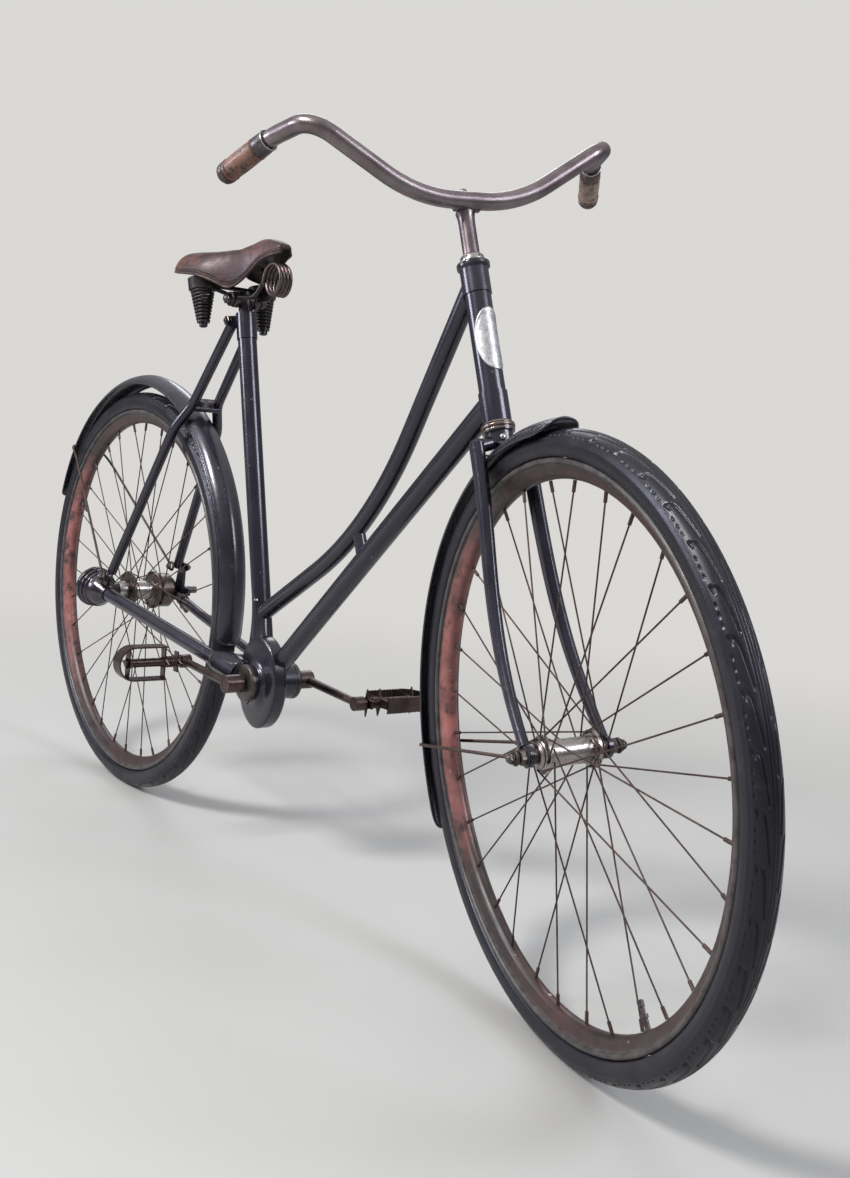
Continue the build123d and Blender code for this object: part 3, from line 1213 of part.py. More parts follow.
# Cranks and pedals, opposite each other. Each pedal is a bent strip with notched edges round a
# plain barrel, held by two star plates; the left one hangs turned by a quarter.
PEDAL_TABLE = (
    # name, side, the way the treads face, the way the spurs point
    ("right", -1, Vector(0, 0, 1), Vector(1, 0, 0)),
    ("left", 1, Vector(1, 0, 0), Vector(0, 0, 1)),
)
for name, side, tread_way, spur_way in PEDAL_TABLE:
    reach = Vector(side * cos(radians(CRANK_TILT)), 0, -side * sin(radians(CRANK_TILT))) * CRANK_LENGTH
    out = ACROSS * side
    crank_centre = CRANK_CENTRE + out * CRANK_OFFSET
    pedal_eye = crank_centre + reach
    inner = pedal_eye + out * (PEDAL_INNER - CRANK_OFFSET)
    length = PEDAL_OUTER - PEDAL_INNER
    with BuildPart() as crank:
        rod(CRANK_CENTRE + out * CRANK_BOSS_INNER, CRANK_CENTRE + out * CRANK_BOSS_OUTER, CRANK_BOSS_RADIUS)
        cone(crank_centre, pedal_eye, CRANK_RADIUS_BOSS, CRANK_RADIUS_EYE)
        rod(pedal_eye - out * CRANK_EYE_HALF_WIDTH, pedal_eye + out * CRANK_EYE_HALF_WIDTH, CRANK_EYE_RADIUS)
        rod(CRANK_CENTRE, CRANK_CENTRE + out * CRANK_BOSS_OUTER, CRANK_AXLE_RADIUS, mode=Mode.SUBTRACT)
        rod(pedal_eye, inner + out * PEDAL_OUTER_PLATE, PEDAL_SPINDLE_RADIUS)
        rod(pedal_eye, inner - out * 2 * PEDAL_PLATE_THICKNESS, PEDAL_SPINDLE_RADIUS + PEDAL_COLLAR_WALL)
    crank.part.label = "crank_" + name
    export_step(crank.part, "parts/crank_" + name + ".step")

    straight = length - PEDAL_HALF_HEIGHT
    inside = PEDAL_HALF_HEIGHT - PEDAL_PLATE_THICKNESS
    with BuildPart() as pedal:
        with BuildSketch(Plane(origin=inner, x_dir=out, z_dir=spur_way)) as strip:
            with Locations((straight / 2, 0)):
                Rectangle(straight, 2 * PEDAL_HALF_HEIGHT)
            with Locations((straight, 0)):
                Circle(PEDAL_HALF_HEIGHT)
                Circle(inside, mode=Mode.SUBTRACT)
            with Locations((straight / 2 - 1, 0)):
                Rectangle(straight + 2, 2 * inside, mode=Mode.SUBTRACT)
        extrude(strip.sketch, amount=PEDAL_TREAD_WIDTH / 2, both=True)
        with BuildSketch(Plane(origin=inner, x_dir=out, z_dir=tread_way)) as notches:
            for edge in (1, -1):
                for index in range(PEDAL_NOTCHES):
                    with Locations(
                        (PEDAL_NOTCH_PITCH * (index + 0.7), edge * (PEDAL_TREAD_WIDTH / 2 + 0.3))
                    ):
                        RegularPolygon(PEDAL_NOTCH_DEPTH, 4)
        extrude(notches.sketch, amount=PEDAL_HALF_HEIGHT + 1, both=True, mode=Mode.SUBTRACT)
        for place in (0, PEDAL_OUTER_PLATE - PEDAL_PLATE_THICKNESS):
            waist = PEDAL_PLATE_HALF_WIDTH
            quarter = ((PEDAL_SPUR, 0), (waist, waist - 2), (waist - 1, PEDAL_HALF_HEIGHT - 1))
            right_half = [(u, -v) for u, v in quarter[:0:-1]] + list(quarter)
            star_points = right_half + [(-u, -v) for u, v in right_half]
            with BuildSketch(Plane(origin=inner + out * place, x_dir=spur_way, z_dir=out)) as star:
                with BuildLine():
                    Polyline(*star_points, close=True)
                make_face()
            extrude(star.sketch, amount=PEDAL_PLATE_THICKNESS)
        rod(inner, inner + out * PEDAL_OUTER_PLATE, PEDAL_BARREL_RADIUS)
        rod(inner, inner + out * PEDAL_CAP_LENGTH, PEDAL_CAP_RADIUS)
        rod(
            inner - out,
            inner + out * (PEDAL_OUTER_PLATE + 1),
            PEDAL_SPINDLE_RADIUS + RUNNING_FIT,
            mode=Mode.SUBTRACT,
        )
    pedal.part.label = "pedal_" + name
    export_step(pedal.part, "parts/pedal_" + name + ".step")

# Seat post, with the saddle's clamp on its top
CLAMP_POINT = seat_tube_at(SEAT_HEIGHT - SADDLE_CLAMP_DROP)
with BuildPart() as seat_post:
    post_foot = seat_tube_at(SEAT_TUBE_TOP_HEIGHT - POST_INSERT)
    rod(post_foot, seat_tube_at(SEAT_HEIGHT - POST_TOP_DROP), POST_RADIUS)
    rod(
        CLAMP_POINT - ACROSS * SADDLE_CLAMP_HALF_WIDTH,
        CLAMP_POINT + ACROSS * SADDLE_CLAMP_HALF_WIDTH,
        SADDLE_CLAMP_RADIUS,
    )
seat_post.part.label = "seat_post"
export_step(seat_post.part, "parts/seat_post.step")

# Saddle leather: a table of cross-sections from the broad rear to the nose. The flaps hang
# lowest beside the seat post.
SADDLE_SECTIONS = (
    # ahead, half width, top's drop, edge's drop, thickness
    (228.0, 64.0, 8.0, 28.0, 9.0),
    (250.0, 88.0, 4.0, 42.0, 9.0),
    (290.0, 80.0, 2.0, 45.0, 8.0),
    (320.0, 64.0, 0.0, 52.0, 8.0),
    (346.0, 47.0, -3.0, 63.0, 8.0),
    (372.0, 33.0, -10.0, 50.0, 8.0),
    (394.0, 24.0, -16.0, 26.0, 8.0),
    (418.0, 19.0, -13.0, 14.0, 8.0),
    (442.0, 13.0, -4.0, 10.0, 8.0),
)
FLAP_SHARE = 0.86
SHOULDER_SHARE = 0.62
FLAP_DEPTH_SHARE = 0.4
SHOULDER_DEPTH_SHARE = 0.1


def leather_section(half, top_drop, edge_drop, thickness):
    """Half of the leather's cross-section: side and height of its upper and of its lower face."""
    top = SEAT_HEIGHT - top_drop
    hang = edge_drop - top_drop
    upper = [
        (half, top - hang),
        (FLAP_SHARE * half, top - FLAP_DEPTH_SHARE * hang),
        (SHOULDER_SHARE * half, top - SHOULDER_DEPTH_SHARE * hang),
        (0, top),
    ]
    lower = [
        (0, top - thickness),
        (SHOULDER_SHARE * half - thickness / 3, top - SHOULDER_DEPTH_SHARE * hang - thickness),
        (FLAP_SHARE * half - thickness / 2, top - FLAP_DEPTH_SHARE * hang - thickness / 2),
    ]
    return upper, lower


def leather_underside(ahead, side):
    """Height of the leather's lower face at a place under its broad rear."""
    heights = []
    for row in SADDLE_SECTIONS[1:3]:
        lower = leather_section(*row[1:])[1]
        (near_side, near_height), (far_side, far_height) = lower[1:]
        share = (side - near_side) / (far_side - near_side)
        heights.append(near_height + (far_height - near_height) * share)
    first, last = SADDLE_SECTIONS[1][0], SADDLE_SECTIONS[2][0]
    return heights[0] + (heights[1] - heights[0]) * (ahead - first) / (last - first)


with BuildPart() as saddle_leather:
    for ahead, half, top_drop, edge_drop, thickness in SADDLE_SECTIONS:
        upper, lower = leather_section(half, top_drop, edge_drop, thickness)
        outline = [(-side, height) for side, height in upper] + upper[-2::-1]
        outline += lower[:0:-1] + [lower[0]] + [(-side, height) for side, height in lower[1:]]
        section_plane = Plane(origin=at(ahead, 0, SEAT_HEIGHT), x_dir=(0, 1, 0), z_dir=(1, 0, 0))
        with BuildSketch(section_plane):
            with BuildLine():
                Polyline(*[(side, height - SEAT_HEIGHT) for side, height in outline], close=True)
            make_face()
    loft(ruled=True)
saddle_leather.part.label = "saddle_leather"
export_step(saddle_leather.part, "parts/saddle_leather.step")

# Rear springs: a cup above a cone of close coils that leans forward at its foot, with the nub
# below and the bolt up to the leather
SPRING_DOWN = Vector(SPRING_LEAN, 0, -1).normalized()
BOLT_TOP_HEIGHT = leather_underside(SPRING_AHEAD, SPRING_SIDE + SADDLE_BOLT_RADIUS) - 2 * SEAT_GAP
with BuildPart() as saddle_rear_springs:
    for side in (1, -1):
        centre = at(SPRING_AHEAD, side * SPRING_SIDE, SEAT_HEIGHT - SPRING_TOP_DROP)
        rod(centre, centre - SPRING_DOWN * SPRING_CUP_HEIGHT, SPRING_CUP_RADIUS)
        rod(centre, at(SPRING_AHEAD, side * SPRING_SIDE, BOLT_TOP_HEIGHT), SADDLE_BOLT_RADIUS)
        with BuildSketch(Plane(origin=centre, x_dir=SPRING_DOWN, z_dir=SPRING_DOWN.cross(ACROSS))) as coils:
            with BuildLine():
                groove = [
                    (
                        turn * SPRING_PITCH,
                        SPRING_TOP_RADIUS
                        - SPRING_GROOVE
                        - (SPRING_TOP_RADIUS - SPRING_FOOT_RADIUS) * turn / SPRING_COILS,
                    )
                    for turn in range(SPRING_COILS + 1)
                ]
                for start, end in zip(groove, groove[1:]):
                    middle = ((start[0] + end[0]) / 2, (start[1] + end[1]) / 2 + SPRING_GROOVE)
                    ThreePointArc(start, middle, end)
                Polyline(groove[-1], (groove[-1][0], 0), (0, 0), groove[0])
            make_face()
        revolve(coils.sketch, axis=Axis(centre, SPRING_DOWN))
        foot = centre + SPRING_DOWN * SPRING_COILS * SPRING_PITCH
        rod(foot, foot + SPRING_DOWN * SPRING_NUB_LENGTH, SPRING_NUB_RADIUS)
saddle_rear_springs.part.label = "saddle_rear_springs"
export_step(saddle_rear_springs.part, "parts/saddle_rear_springs.step")

# Nose spring: large round coils across the saddle, drawn together at the rear
NOSE_COIL_HEIGHT = SEAT_HEIGHT - NOSE_COIL_DROP
with BuildPart() as saddle_nose_spring:
    for turn in range(NOSE_COIL_TURNS):
        left = (turn - (NOSE_COIL_TURNS - 1) / 2) * NOSE_COIL_PITCH
        coil_centre = at(NOSE_COIL_AHEAD, left, NOSE_COIL_HEIGHT)
        with BuildSketch(Plane(origin=coil_centre, x_dir=(1, 0, 0), z_dir=(0, 0, 1))) as wire:
            with Locations((NOSE_COIL_RADIUS, 0)):
                Circle(NOSE_WIRE_RADIUS)
        revolve(wire.sketch, axis=Axis(coil_centre, ACROSS))
    rear = at(NOSE_COIL_AHEAD - NOSE_COIL_RADIUS, 0, NOSE_COIL_HEIGHT)
    half_span = ACROSS * (NOSE_COIL_TURNS - 1) / 2 * NOSE_COIL_PITCH
    rod(rear - half_span, rear + half_span, 0.8 * NOSE_WIRE_RADIUS)
saddle_nose_spring.part.label = "saddle_nose_spring"
export_step(saddle_nose_spring.part, "parts/saddle_nose_spring.step")

# Saddle frame: two wires from the nose spring through the clamp to the rear springs' cups,
# and the bar across between the cups
with BuildPart() as saddle_frame:
    wire_start = NOSE_COIL_AHEAD - NOSE_COIL_RADIUS - NOSE_WIRE_RADIUS - NOSE_WIRE_SETBACK
    wire_height = NOSE_COIL_HEIGHT - FRAME_WIRE_DROP
    cup_middle = SEAT_HEIGHT - SPRING_TOP_DROP + SPRING_CUP_HEIGHT / 2
    for side in (1, -1):
        bent_rod(
            (
                at(wire_start, side * NOSE_COIL_PITCH, NOSE_COIL_HEIGHT),
                at(FRAME_WIRE_FRONT[0], side * FRAME_WIRE_FRONT[1], wire_height),
                at(FRAME_WIRE_MIDDLE[0], side * FRAME_WIRE_MIDDLE[1], wire_height),
                at(SPRING_AHEAD, side * SPRING_SIDE, cup_middle),
            ),
            (FRAME_WIRE_BEND_RADIUS, FRAME_WIRE_BEND_RADIUS),
            FRAME_WIRE_RADIUS,
        )
    rod(
        at(SPRING_AHEAD, -SPRING_SIDE, cup_middle),
        at(SPRING_AHEAD, SPRING_SIDE, cup_middle),
        CROSS_BAR_RADIUS,
    )
    add(saddle_rear_springs.part, mode=Mode.SUBTRACT)
    add(saddle_nose_spring.part, mode=Mode.SUBTRACT)
    add(seat_post.part, mode=Mode.SUBTRACT)
    add(seat_tube.part, mode=Mode.SUBTRACT)
saddle_frame.part.label = "saddle_frame"
export_step(saddle_frame.part, "parts/saddle_frame.step")
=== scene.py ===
from math import acos, asin, cos, degrees, exp, hypot, pi, radians, sin, sqrt, tan

import bmesh
import bpy
from mathutils import Matrix, Vector, noise


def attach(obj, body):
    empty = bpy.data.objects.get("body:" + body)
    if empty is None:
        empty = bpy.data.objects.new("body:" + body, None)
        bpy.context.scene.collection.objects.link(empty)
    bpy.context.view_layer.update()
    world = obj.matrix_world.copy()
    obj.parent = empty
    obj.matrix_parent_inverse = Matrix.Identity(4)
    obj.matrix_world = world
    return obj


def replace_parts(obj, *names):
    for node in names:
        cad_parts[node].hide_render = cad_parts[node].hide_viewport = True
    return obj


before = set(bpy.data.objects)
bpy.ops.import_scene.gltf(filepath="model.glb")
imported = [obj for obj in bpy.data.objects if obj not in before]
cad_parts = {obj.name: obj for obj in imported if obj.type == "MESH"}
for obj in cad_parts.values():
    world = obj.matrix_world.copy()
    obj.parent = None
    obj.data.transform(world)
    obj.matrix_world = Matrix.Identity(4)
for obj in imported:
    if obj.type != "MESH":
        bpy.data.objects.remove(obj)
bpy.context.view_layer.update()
SCENE = bpy.context.scene


def add_object(name, data):
    """A new object in the scene."""
    thing = bpy.data.objects.new(name, data)
    SCENE.collection.objects.link(thing)
    return thing


# The camera that took the photograph, solved from the wheels and the steering head
optics = bpy.data.cameras.new("camera")
optics.sensor_fit = "VERTICAL"
optics.sensor_height = 36
optics.lens = 39.17
optics.clip_end = 100
camera = add_object("camera", optics)
RIGHT = Vector((0.60084, 0.7941, 0.09164))
DOWN = Vector((0.15492, -0.00321, -0.98792))
FORWARD = Vector((-0.78421, 0.60778, -0.12495))
turned_by = Matrix((RIGHT, -DOWN, -FORWARD)).transposed().to_4x4()
camera.matrix_world = Matrix.Translation((1.84668, -1.00194, -0.24568)) @ turned_by
SCENE.camera = camera
SCENE.view_settings.view_transform = "Standard"

# Sizes that the pieces below share with the solids, in millimetres
SEAT_AHEAD = 300
SEAT_HEIGHT = 944
WHEEL_RADIUS = 357
WHEELBASE = 1154.6
TYRE_WIDTH = 40
TYRE_SEAT_RADIUS = 326
HEAD_ANGLE = radians(68.43)
FORK_RAKE = 46.75
STEER_TURN = radians(-14.33)
HEAD_BOTTOM = 390.8
HEAD_TOP = 602.4
CRANK_AHEAD = 485
CRANK_HEIGHT = 291
SHAFT_SIDE = -68
SHAFT_TO_MIDDLE = 34
SHAFT_FRONT_HEIGHT = 296
FLOOR = -SEAT_HEIGHT / 1000
AHEAD = Vector((1, 0, 0))
LEFT = Vector((0, 1, 0))
UP = Vector((0, 0, 1))


def at(ahead, left, height):
    """A point from its distance ahead of the rear axle, to the left and above the ground, in metres."""
    return Vector(((ahead - SEAT_AHEAD) / 1000, left / 1000, (height - SEAT_HEIGHT) / 1000))


AXIS_FOOT = at(WHEELBASE - FORK_RAKE * sin(HEAD_ANGLE), 0, WHEEL_RADIUS - FORK_RAKE * cos(HEAD_ANGLE))
HEAD_X = Vector((sin(HEAD_ANGLE), 0, cos(HEAD_ANGLE)))
HEAD_Z = Vector((-cos(HEAD_ANGLE), 0, sin(HEAD_ANGLE)))
FORK_X = HEAD_X * cos(STEER_TURN) + LEFT * sin(STEER_TURN)
FORK_Y = HEAD_Z.cross(FORK_X)


def on_head(forward, left, up):
    """A point in the straight steering head's directions, from millimetres."""
    return AXIS_FOOT + (HEAD_X * forward + LEFT * left + HEAD_Z * up) / 1000


def on_fork(forward, left, up):
    """A point in the turned fork's directions, from millimetres."""
    return AXIS_FOOT + (FORK_X * forward + FORK_Y * left + HEAD_Z * up) / 1000


FRONT_HUB = on_fork(FORK_RAKE, 0, 0)
REAR_HUB = at(0, 0, WHEEL_RADIUS)
FRONT_AHEAD = (FORK_X * sin(HEAD_ANGLE) - HEAD_Z * cos(HEAD_ANGLE)).normalized()
WHEELS = {
    "rear": (REAR_HUB, AHEAD, LEFT),
    "front": (FRONT_HUB, FRONT_AHEAD, FORK_Y),
}


def on_wheel(wheel, angle, radius, left):
    """A point at an angle above the forward direction, a radius and a distance left, in degrees and mm."""
    hub, ahead, axle = WHEELS[wheel]
    up = ahead.cross(axle)
    turn = radians(angle)
    return hub + (ahead * cos(turn) + up * sin(turn)) * radius / 1000 + axle * left / 1000


# Materials


def rgb(red, green, blue):
    """A colour as the sockets take it."""
    return red, green, blue, 1


class Nodes:
    """A node tree, made from nodes with constant inputs and fed inputs."""

    def __init__(self, tree):
        self.tree = tree

    def link(self, output, target):
        self.tree.links.new(output, target)

    def node(self, kind, constants=None, feeds=None, **settings):
        made = self.tree.nodes.new("ShaderNode" + kind)
        for key, value in settings.items():
            setattr(made, key, value)
        for socket, value in (constants or {}).items():
            made.inputs[socket].default_value = value
        for socket, output in (feeds or {}).items():
            self.link(output, made.inputs[socket])
        return made

    def span(self, factor, low, high, a=0, b=1, **settings):
        """A value that runs from a to b while the factor runs from low to high."""
        limits = {"From Min": low, "From Max": high, "To Min": a, "To Max": b}
        return self.node("MapRange", limits, {"Value": factor}, **settings).outputs["Result"]

    def times(self, a, b):
        return self.node("Math", feeds={0: a, 1: b}, operation="MULTIPLY").outputs[0]

    def axis(self, place, letter):
        return self.node("SeparateXYZ", feeds={0: place}).outputs[letter]


class Paint(Nodes):
    """A procedural material: noise in the object's own coordinates drives colour, roughness and bump."""

    def __init__(self, name, **constants):
        self.material = bpy.data.materials.new(name)
        self.material.use_nodes = True
        super().__init__(self.material.node_tree)
        self.shader = self.tree.nodes["Principled BSDF"]
        for socket, value in constants.items():
            self.shader.inputs[socket.replace("_", " ")].default_value = value
        self.place = self.node("TexCoord").outputs["Object"]

    def spot(self, stretch=(1, 1, 1), offset=0):
        """The object's own coordinates, stretched and moved."""
        where = {"Scale": stretch, "Location": (offset, 0.37 * offset, 0.71 * offset)}
        return self.node("Mapping", where, {"Vector": self.place}).outputs["Vector"]

    def noise(self, scale, detail=4, roughness=0.55, stretch=(1, 1, 1), offset=0):
        constants = {"Scale": scale, "Detail": detail, "Roughness": roughness}
        return self.node("TexNoise", constants, {"Vector": self.spot(stretch, offset)}).outputs["Fac"]

    def cells(self, scale, feature="F1"):
        feeds = {"Vector": self.spot()}
        return self.node("TexVoronoi", {"Scale": scale}, feeds, feature=feature).outputs["Distance"]

    def distance(self, point):
        return self.node("VectorMath", {1: point}, {0: self.place}, operation="DISTANCE").outputs["Value"]

    def ramp(self, factor, low, high, a=rgb(0, 0, 0), b=rgb(1, 1, 1)):
        node = self.node("ValToRGB", feeds={"Fac": factor})
        for stop, place, tone in zip(node.color_ramp.elements, (low, high), (a, b)):
            stop.position = place
            stop.color = tone
        return node.outputs["Color"]

    def mix(self, factor, a, b):
        node = self.node("Mix", feeds={0: factor}, data_type="RGBA")
        for socket, value in ((node.inputs[6], a), (node.inputs[7], b)):
            if isinstance(value, tuple):
                socket.default_value = rgb(*value)
            else:
                self.link(value, socket)
        return node.outputs[2]

    def over(self, colour, tone, low, high, *noise, **placed):
        """The colour with a tone laid over it where the noise rises from low to high."""
        return self.mix(self.ramp(self.noise(*noise, **placed), low, high), colour, tone)

    def colour(self, output):
        self.link(output, self.shader.inputs["Base Color"])

    def rough(self, a, b, *noise, high=0.7, **placed):
        """The roughness runs from a to b as the noise rises."""
        spread = self.span(self.noise(*noise, **placed), 0.3, high, a, b)
        self.link(spread, self.shader.inputs["Roughness"])

    def bump(self, height, strength, distance):
        node = self.node("Bump", {"Strength": strength, "Distance": distance}, {"Height": height})
        self.link(node.outputs["Normal"], self.shader.inputs["Normal"])


def enamel(name, base, dust, chip, dustiness=0.5):
    """Old black stove enamel: dull in patches, fine scratches, small chips to grey."""
    p = Paint(name, Coat_Weight=0.35, Coat_Roughness=0.14, Specular_Tint=rgb(0.9, 0.86, 1))
    colour = p.over(base, dust, 0.4, 0.75, 9, 5, 0.6)
    scuff = tuple(0.5 * (d + c) for d, c in zip(dust, chip))
    colour = p.over(colour, scuff, 0.66, 0.72, 60, 6, 0.7, (1, 3, 0.35), 3)
    p.colour(p.over(colour, chip, 0.735, 0.75, 95, 3, 0.5, offset=9))
    p.rough(0.22, 0.22 + 0.4 * dustiness, 26, 5, 0.65, high=0.75, offset=5)
    p.bump(p.noise(260, 3), 0.05, 0.0004)
    return p.material


def patina(name, bright, dull, rust, rust_from, roughness, scale=1, metallic=0.9, pitting=0.14):
    """Nickel plate gone brown: mottled tarnish with rust where it has lifted."""
    p = Paint(name, Metallic=metallic)
    colour = p.over(bright, dull, 0.35, 0.65, 14 * scale, 6, 0.65)
    p.colour(p.over(colour, rust, rust_from, rust_from + 0.08, 70 * scale, 6, 0.7, offset=7))
    p.rough(*roughness, 40 * scale, 5, 0.7, offset=2)
    p.bump(p.noise(190, 5, 0.6), pitting, 0.0006)
    return p.material


BLACK = enamel("black_enamel_aged", (0.005, 0.0042, 0.0085), (0.013, 0.0115, 0.02), (0.11, 0.1, 0.1), 0.3)
GUARD_BLACK = enamel(
    "guard_enamel_dusty", (0.0065, 0.0062, 0.01), (0.024, 0.023, 0.033), (0.13, 0.12, 0.12), 0.45
)
NICKEL = patina(
    "nickel_brown", (0.25, 0.208, 0.215), (0.12, 0.092, 0.098), (0.07, 0.04, 0.034), 0.66, (0.26, 0.4),
    pitting=0.012,
)
HUB_NICKEL = patina(
    "hub_nickel", (0.44, 0.41, 0.4), (0.25, 0.215, 0.205), (0.13, 0.085, 0.065), 0.68, (0.2, 0.42), 1.6, 1
)
BELL = patina(
    "polished_dark_bell", (0.135, 0.125, 0.14), (0.045, 0.04, 0.048), (0.085, 0.055, 0.045),
    0.64, (0.12, 0.32), 2
)
BRIGHT = patina(
    "bright_steel", (0.52, 0.52, 0.54), (0.26, 0.25, 0.26), (0.1, 0.06, 0.04), 0.64, (0.2, 0.4), 2, 1
)
COIL_STEEL = patina(
    "coil_wire", (0.17, 0.128, 0.128), (0.07, 0.05, 0.05), (0.1, 0.05, 0.034), 0.6, (0.28, 0.44), 3, 0.9, 0.03
)
CRANK_STEEL = patina(
    "crank_brown", (0.11, 0.073, 0.071), (0.044, 0.029, 0.029), (0.08, 0.036, 0.026),
    0.6, (0.22, 0.42), 2, 0.85, 0.04,
)
SPRING_STEEL = patina(
    "spring_wire", (0.055, 0.047, 0.05), (0.02, 0.016, 0.018), (0.06, 0.028, 0.02), 0.6, (0.26, 0.5), 3, 0.7
)
HUB_DARK = patina(
    "hub_browned", (0.155, 0.125, 0.118), (0.06, 0.045, 0.042), (0.075, 0.038, 0.027), 0.57, (0.25, 0.5), 2
)
DARK_STEEL = patina(
    "dark_steel", (0.14, 0.122, 0.12), (0.05, 0.041, 0.041), (0.095, 0.045, 0.03), 0.6, (0.26, 0.5), 2, 0.8
)
RUSTY = patina(
    "rusty_wire", (0.075, 0.05, 0.044), (0.032, 0.021, 0.019), (0.105, 0.046, 0.026),
    0.56, (0.4, 0.7), 3, 0.55
)
BRONZE = patina(
    "bronze_race", (0.3, 0.235, 0.205), (0.12, 0.085, 0.072), (0.07, 0.04, 0.03), 0.6, (0.2, 0.42), 3, 0.95
)
PLATE = patina(
    "worn_plate", (0.6, 0.6, 0.62), (0.38, 0.37, 0.38), (0.14, 0.13, 0.13), 0.57, (0.28, 0.5), 5, 0.75
)


def rim_paint_and_sunlight(name, shift, hub, painted_sunlight_end):
    """Rim paint worn to brown and pink, with painted sunlight: paler pink behind the given end in metres, on
    the side where the light falls; bare metal on the beads.
    """
    p = Paint(name, Coat_Weight=0.15, Coat_Roughness=0.3)
    colour = p.over((0.013, 0.0058, 0.0054), (0.05, 0.018, 0.016), 0.4, 0.68, 9, 6, 0.65, offset=shift)
    # pale: painted sunlight, a paler pink for the lit side of the rim
    pale = p.over((0.31, 0.105, 0.095), (0.15, 0.05, 0.045), 0.35, 0.6, 24, 5, 0.6, offset=2)
    colour = p.mix(p.span(p.axis(p.place, "X"), painted_sunlight_end + 0.05, painted_sunlight_end - 0.05), colour, pale)
    colour = p.over(colour, (0.026, 0.013, 0.011), 0.5, 0.62, 30, 6, 0.7, offset=4 + shift)
    colour = p.over(colour, (0.3, 0.21, 0.19), 0.69, 0.72, 80, 4, 0.6, offset=8)
    metal = p.over((0.06, 0.05, 0.049), (0.022, 0.016, 0.016), 0.42, 0.6, 55, 6, 0.7, offset=1)
    p.colour(p.mix(p.span(p.distance(hub), 0.315, 0.3185), colour, metal))
    p.rough(0.3, 0.6, 33, 5, 0.6, offset=6)
    p.bump(p.noise(150, 5), 0.2, 0.0006)
    return p.material


def rubber():
    """Aged tyre rubber with dust in patches."""
    p = Paint("tyre_rubber_aged", Specular_IOR_Level=0.42, Specular_Tint=rgb(0.9, 0.88, 1))
    colour = p.over((0.004, 0.0036, 0.0058), (0.0095, 0.0088, 0.013), 0.35, 0.7, 8, 6, 0.6)
    p.colour(p.over(colour, (0.028, 0.027, 0.031), 0.58, 0.8, 45, 6, 0.7, offset=5))
    p.rough(0.26, 0.5, 20, 5, 0.6, offset=2)
    p.bump(p.noise(420, 4, 0.7), 0.15, 0.0006)
    return p.material


def hide():
    """Old saddle leather: polished brown where it is sat on, orange where the dye has gone."""
    p = Paint("saddle_hide", Coat_Weight=0.05, Coat_Roughness=0.3, Specular_Tint=rgb(0.8, 0.62, 0.66))
    colour = p.over((0.011, 0.0058, 0.0068), (0.033, 0.016, 0.0155), 0.38, 0.68, 16, 6, 0.6)
    rear = p.span(p.axis(p.place, "X"), -0.022, -0.06)
    side = p.span(p.axis(p.place, "Y"), -0.012, -0.05)
    patchy = p.times(p.times(rear, side), p.ramp(p.noise(34, 6, 0.7, offset=3), 0.38, 0.58))
    colour = p.mix(patchy, colour, (0.27, 0.105, 0.045))
    crest = p.span(p.axis(p.place, "Z"), 0.006, 0.0155)
    rubbed = p.times(crest, p.ramp(p.noise(48, 6, 0.7, offset=9), 0.44, 0.6))
    colour = p.mix(rubbed, colour, (0.2, 0.095, 0.055))
    colour = p.over(colour, (0.105, 0.046, 0.033), 0.54, 0.66, 26, 6, 0.7, offset=5)
    cracks = p.ramp(p.cells(230, "DISTANCE_TO_EDGE"), 0, 0.06, rgb(1, 1, 1), rgb(0, 0, 0))
    p.colour(p.mix(cracks, colour, (0.014, 0.009, 0.008)))
    p.rough(0.36, 0.66, 34, 5, 0.6, offset=6)
    folds = p.noise(75, 6, 0.7, (1, 1.6, 1), 4)
    creases = p.mix(folds, p.noise(240, 6, 0.7), p.cells(230, "DISTANCE_TO_EDGE"))
    p.bump(creases, 0.45, 0.001)
    return p.material


def grip_skin(name, deep, pale):
    """Pressed grip covering: mottled, stained and worn through to pale specks."""
    p = Paint(name, Coat_Weight=0.1)
    colour = p.over(deep, pale, 0.38, 0.64, 28, 6, 0.65)
    colour = p.over(colour, (0.24, 0.185, 0.16), 0.58, 0.66, 60, 6, 0.7, offset=6)
    colour = p.over(colour, (0.03, 0.016, 0.016), 0.54, 0.62, 95, 6, 0.75, offset=2)
    specks = p.ramp(p.cells(190), 0, 0.22, rgb(1, 1, 1), rgb(0, 0, 0))
    p.colour(p.mix(specks, colour, (0.035, 0.02, 0.016)))
    p.rough(0.4, 0.7, 50, 4, 0.6, offset=3)
    p.bump(p.noise(220, 5, 0.7), 0.4, 0.001)
    return p.material


# The last number gives where each rim's painted sunlight starts, towards the back of the wheel
FRONT_RIM = rim_paint_and_sunlight("rim_paint_front", 1.3, FRONT_HUB, 0.6)
REAR_RIM = rim_paint_and_sunlight("rim_paint_rear", 0, REAR_HUB, -0.545)
RUBBER = rubber()
HIDE = hide()
GRIP = grip_skin("grip_worn_brown", (0.032, 0.015, 0.014), (0.19, 0.086, 0.055))
GRIP_PALE = grip_skin("grip_pale_cork", (0.115, 0.075, 0.058), (0.3, 0.22, 0.175))
thread = Paint("thread")
thread.colour(thread.over((0.018, 0.013, 0.011), (0.055, 0.04, 0.032), 0.35, 0.65, 120))
THREAD = thread.material

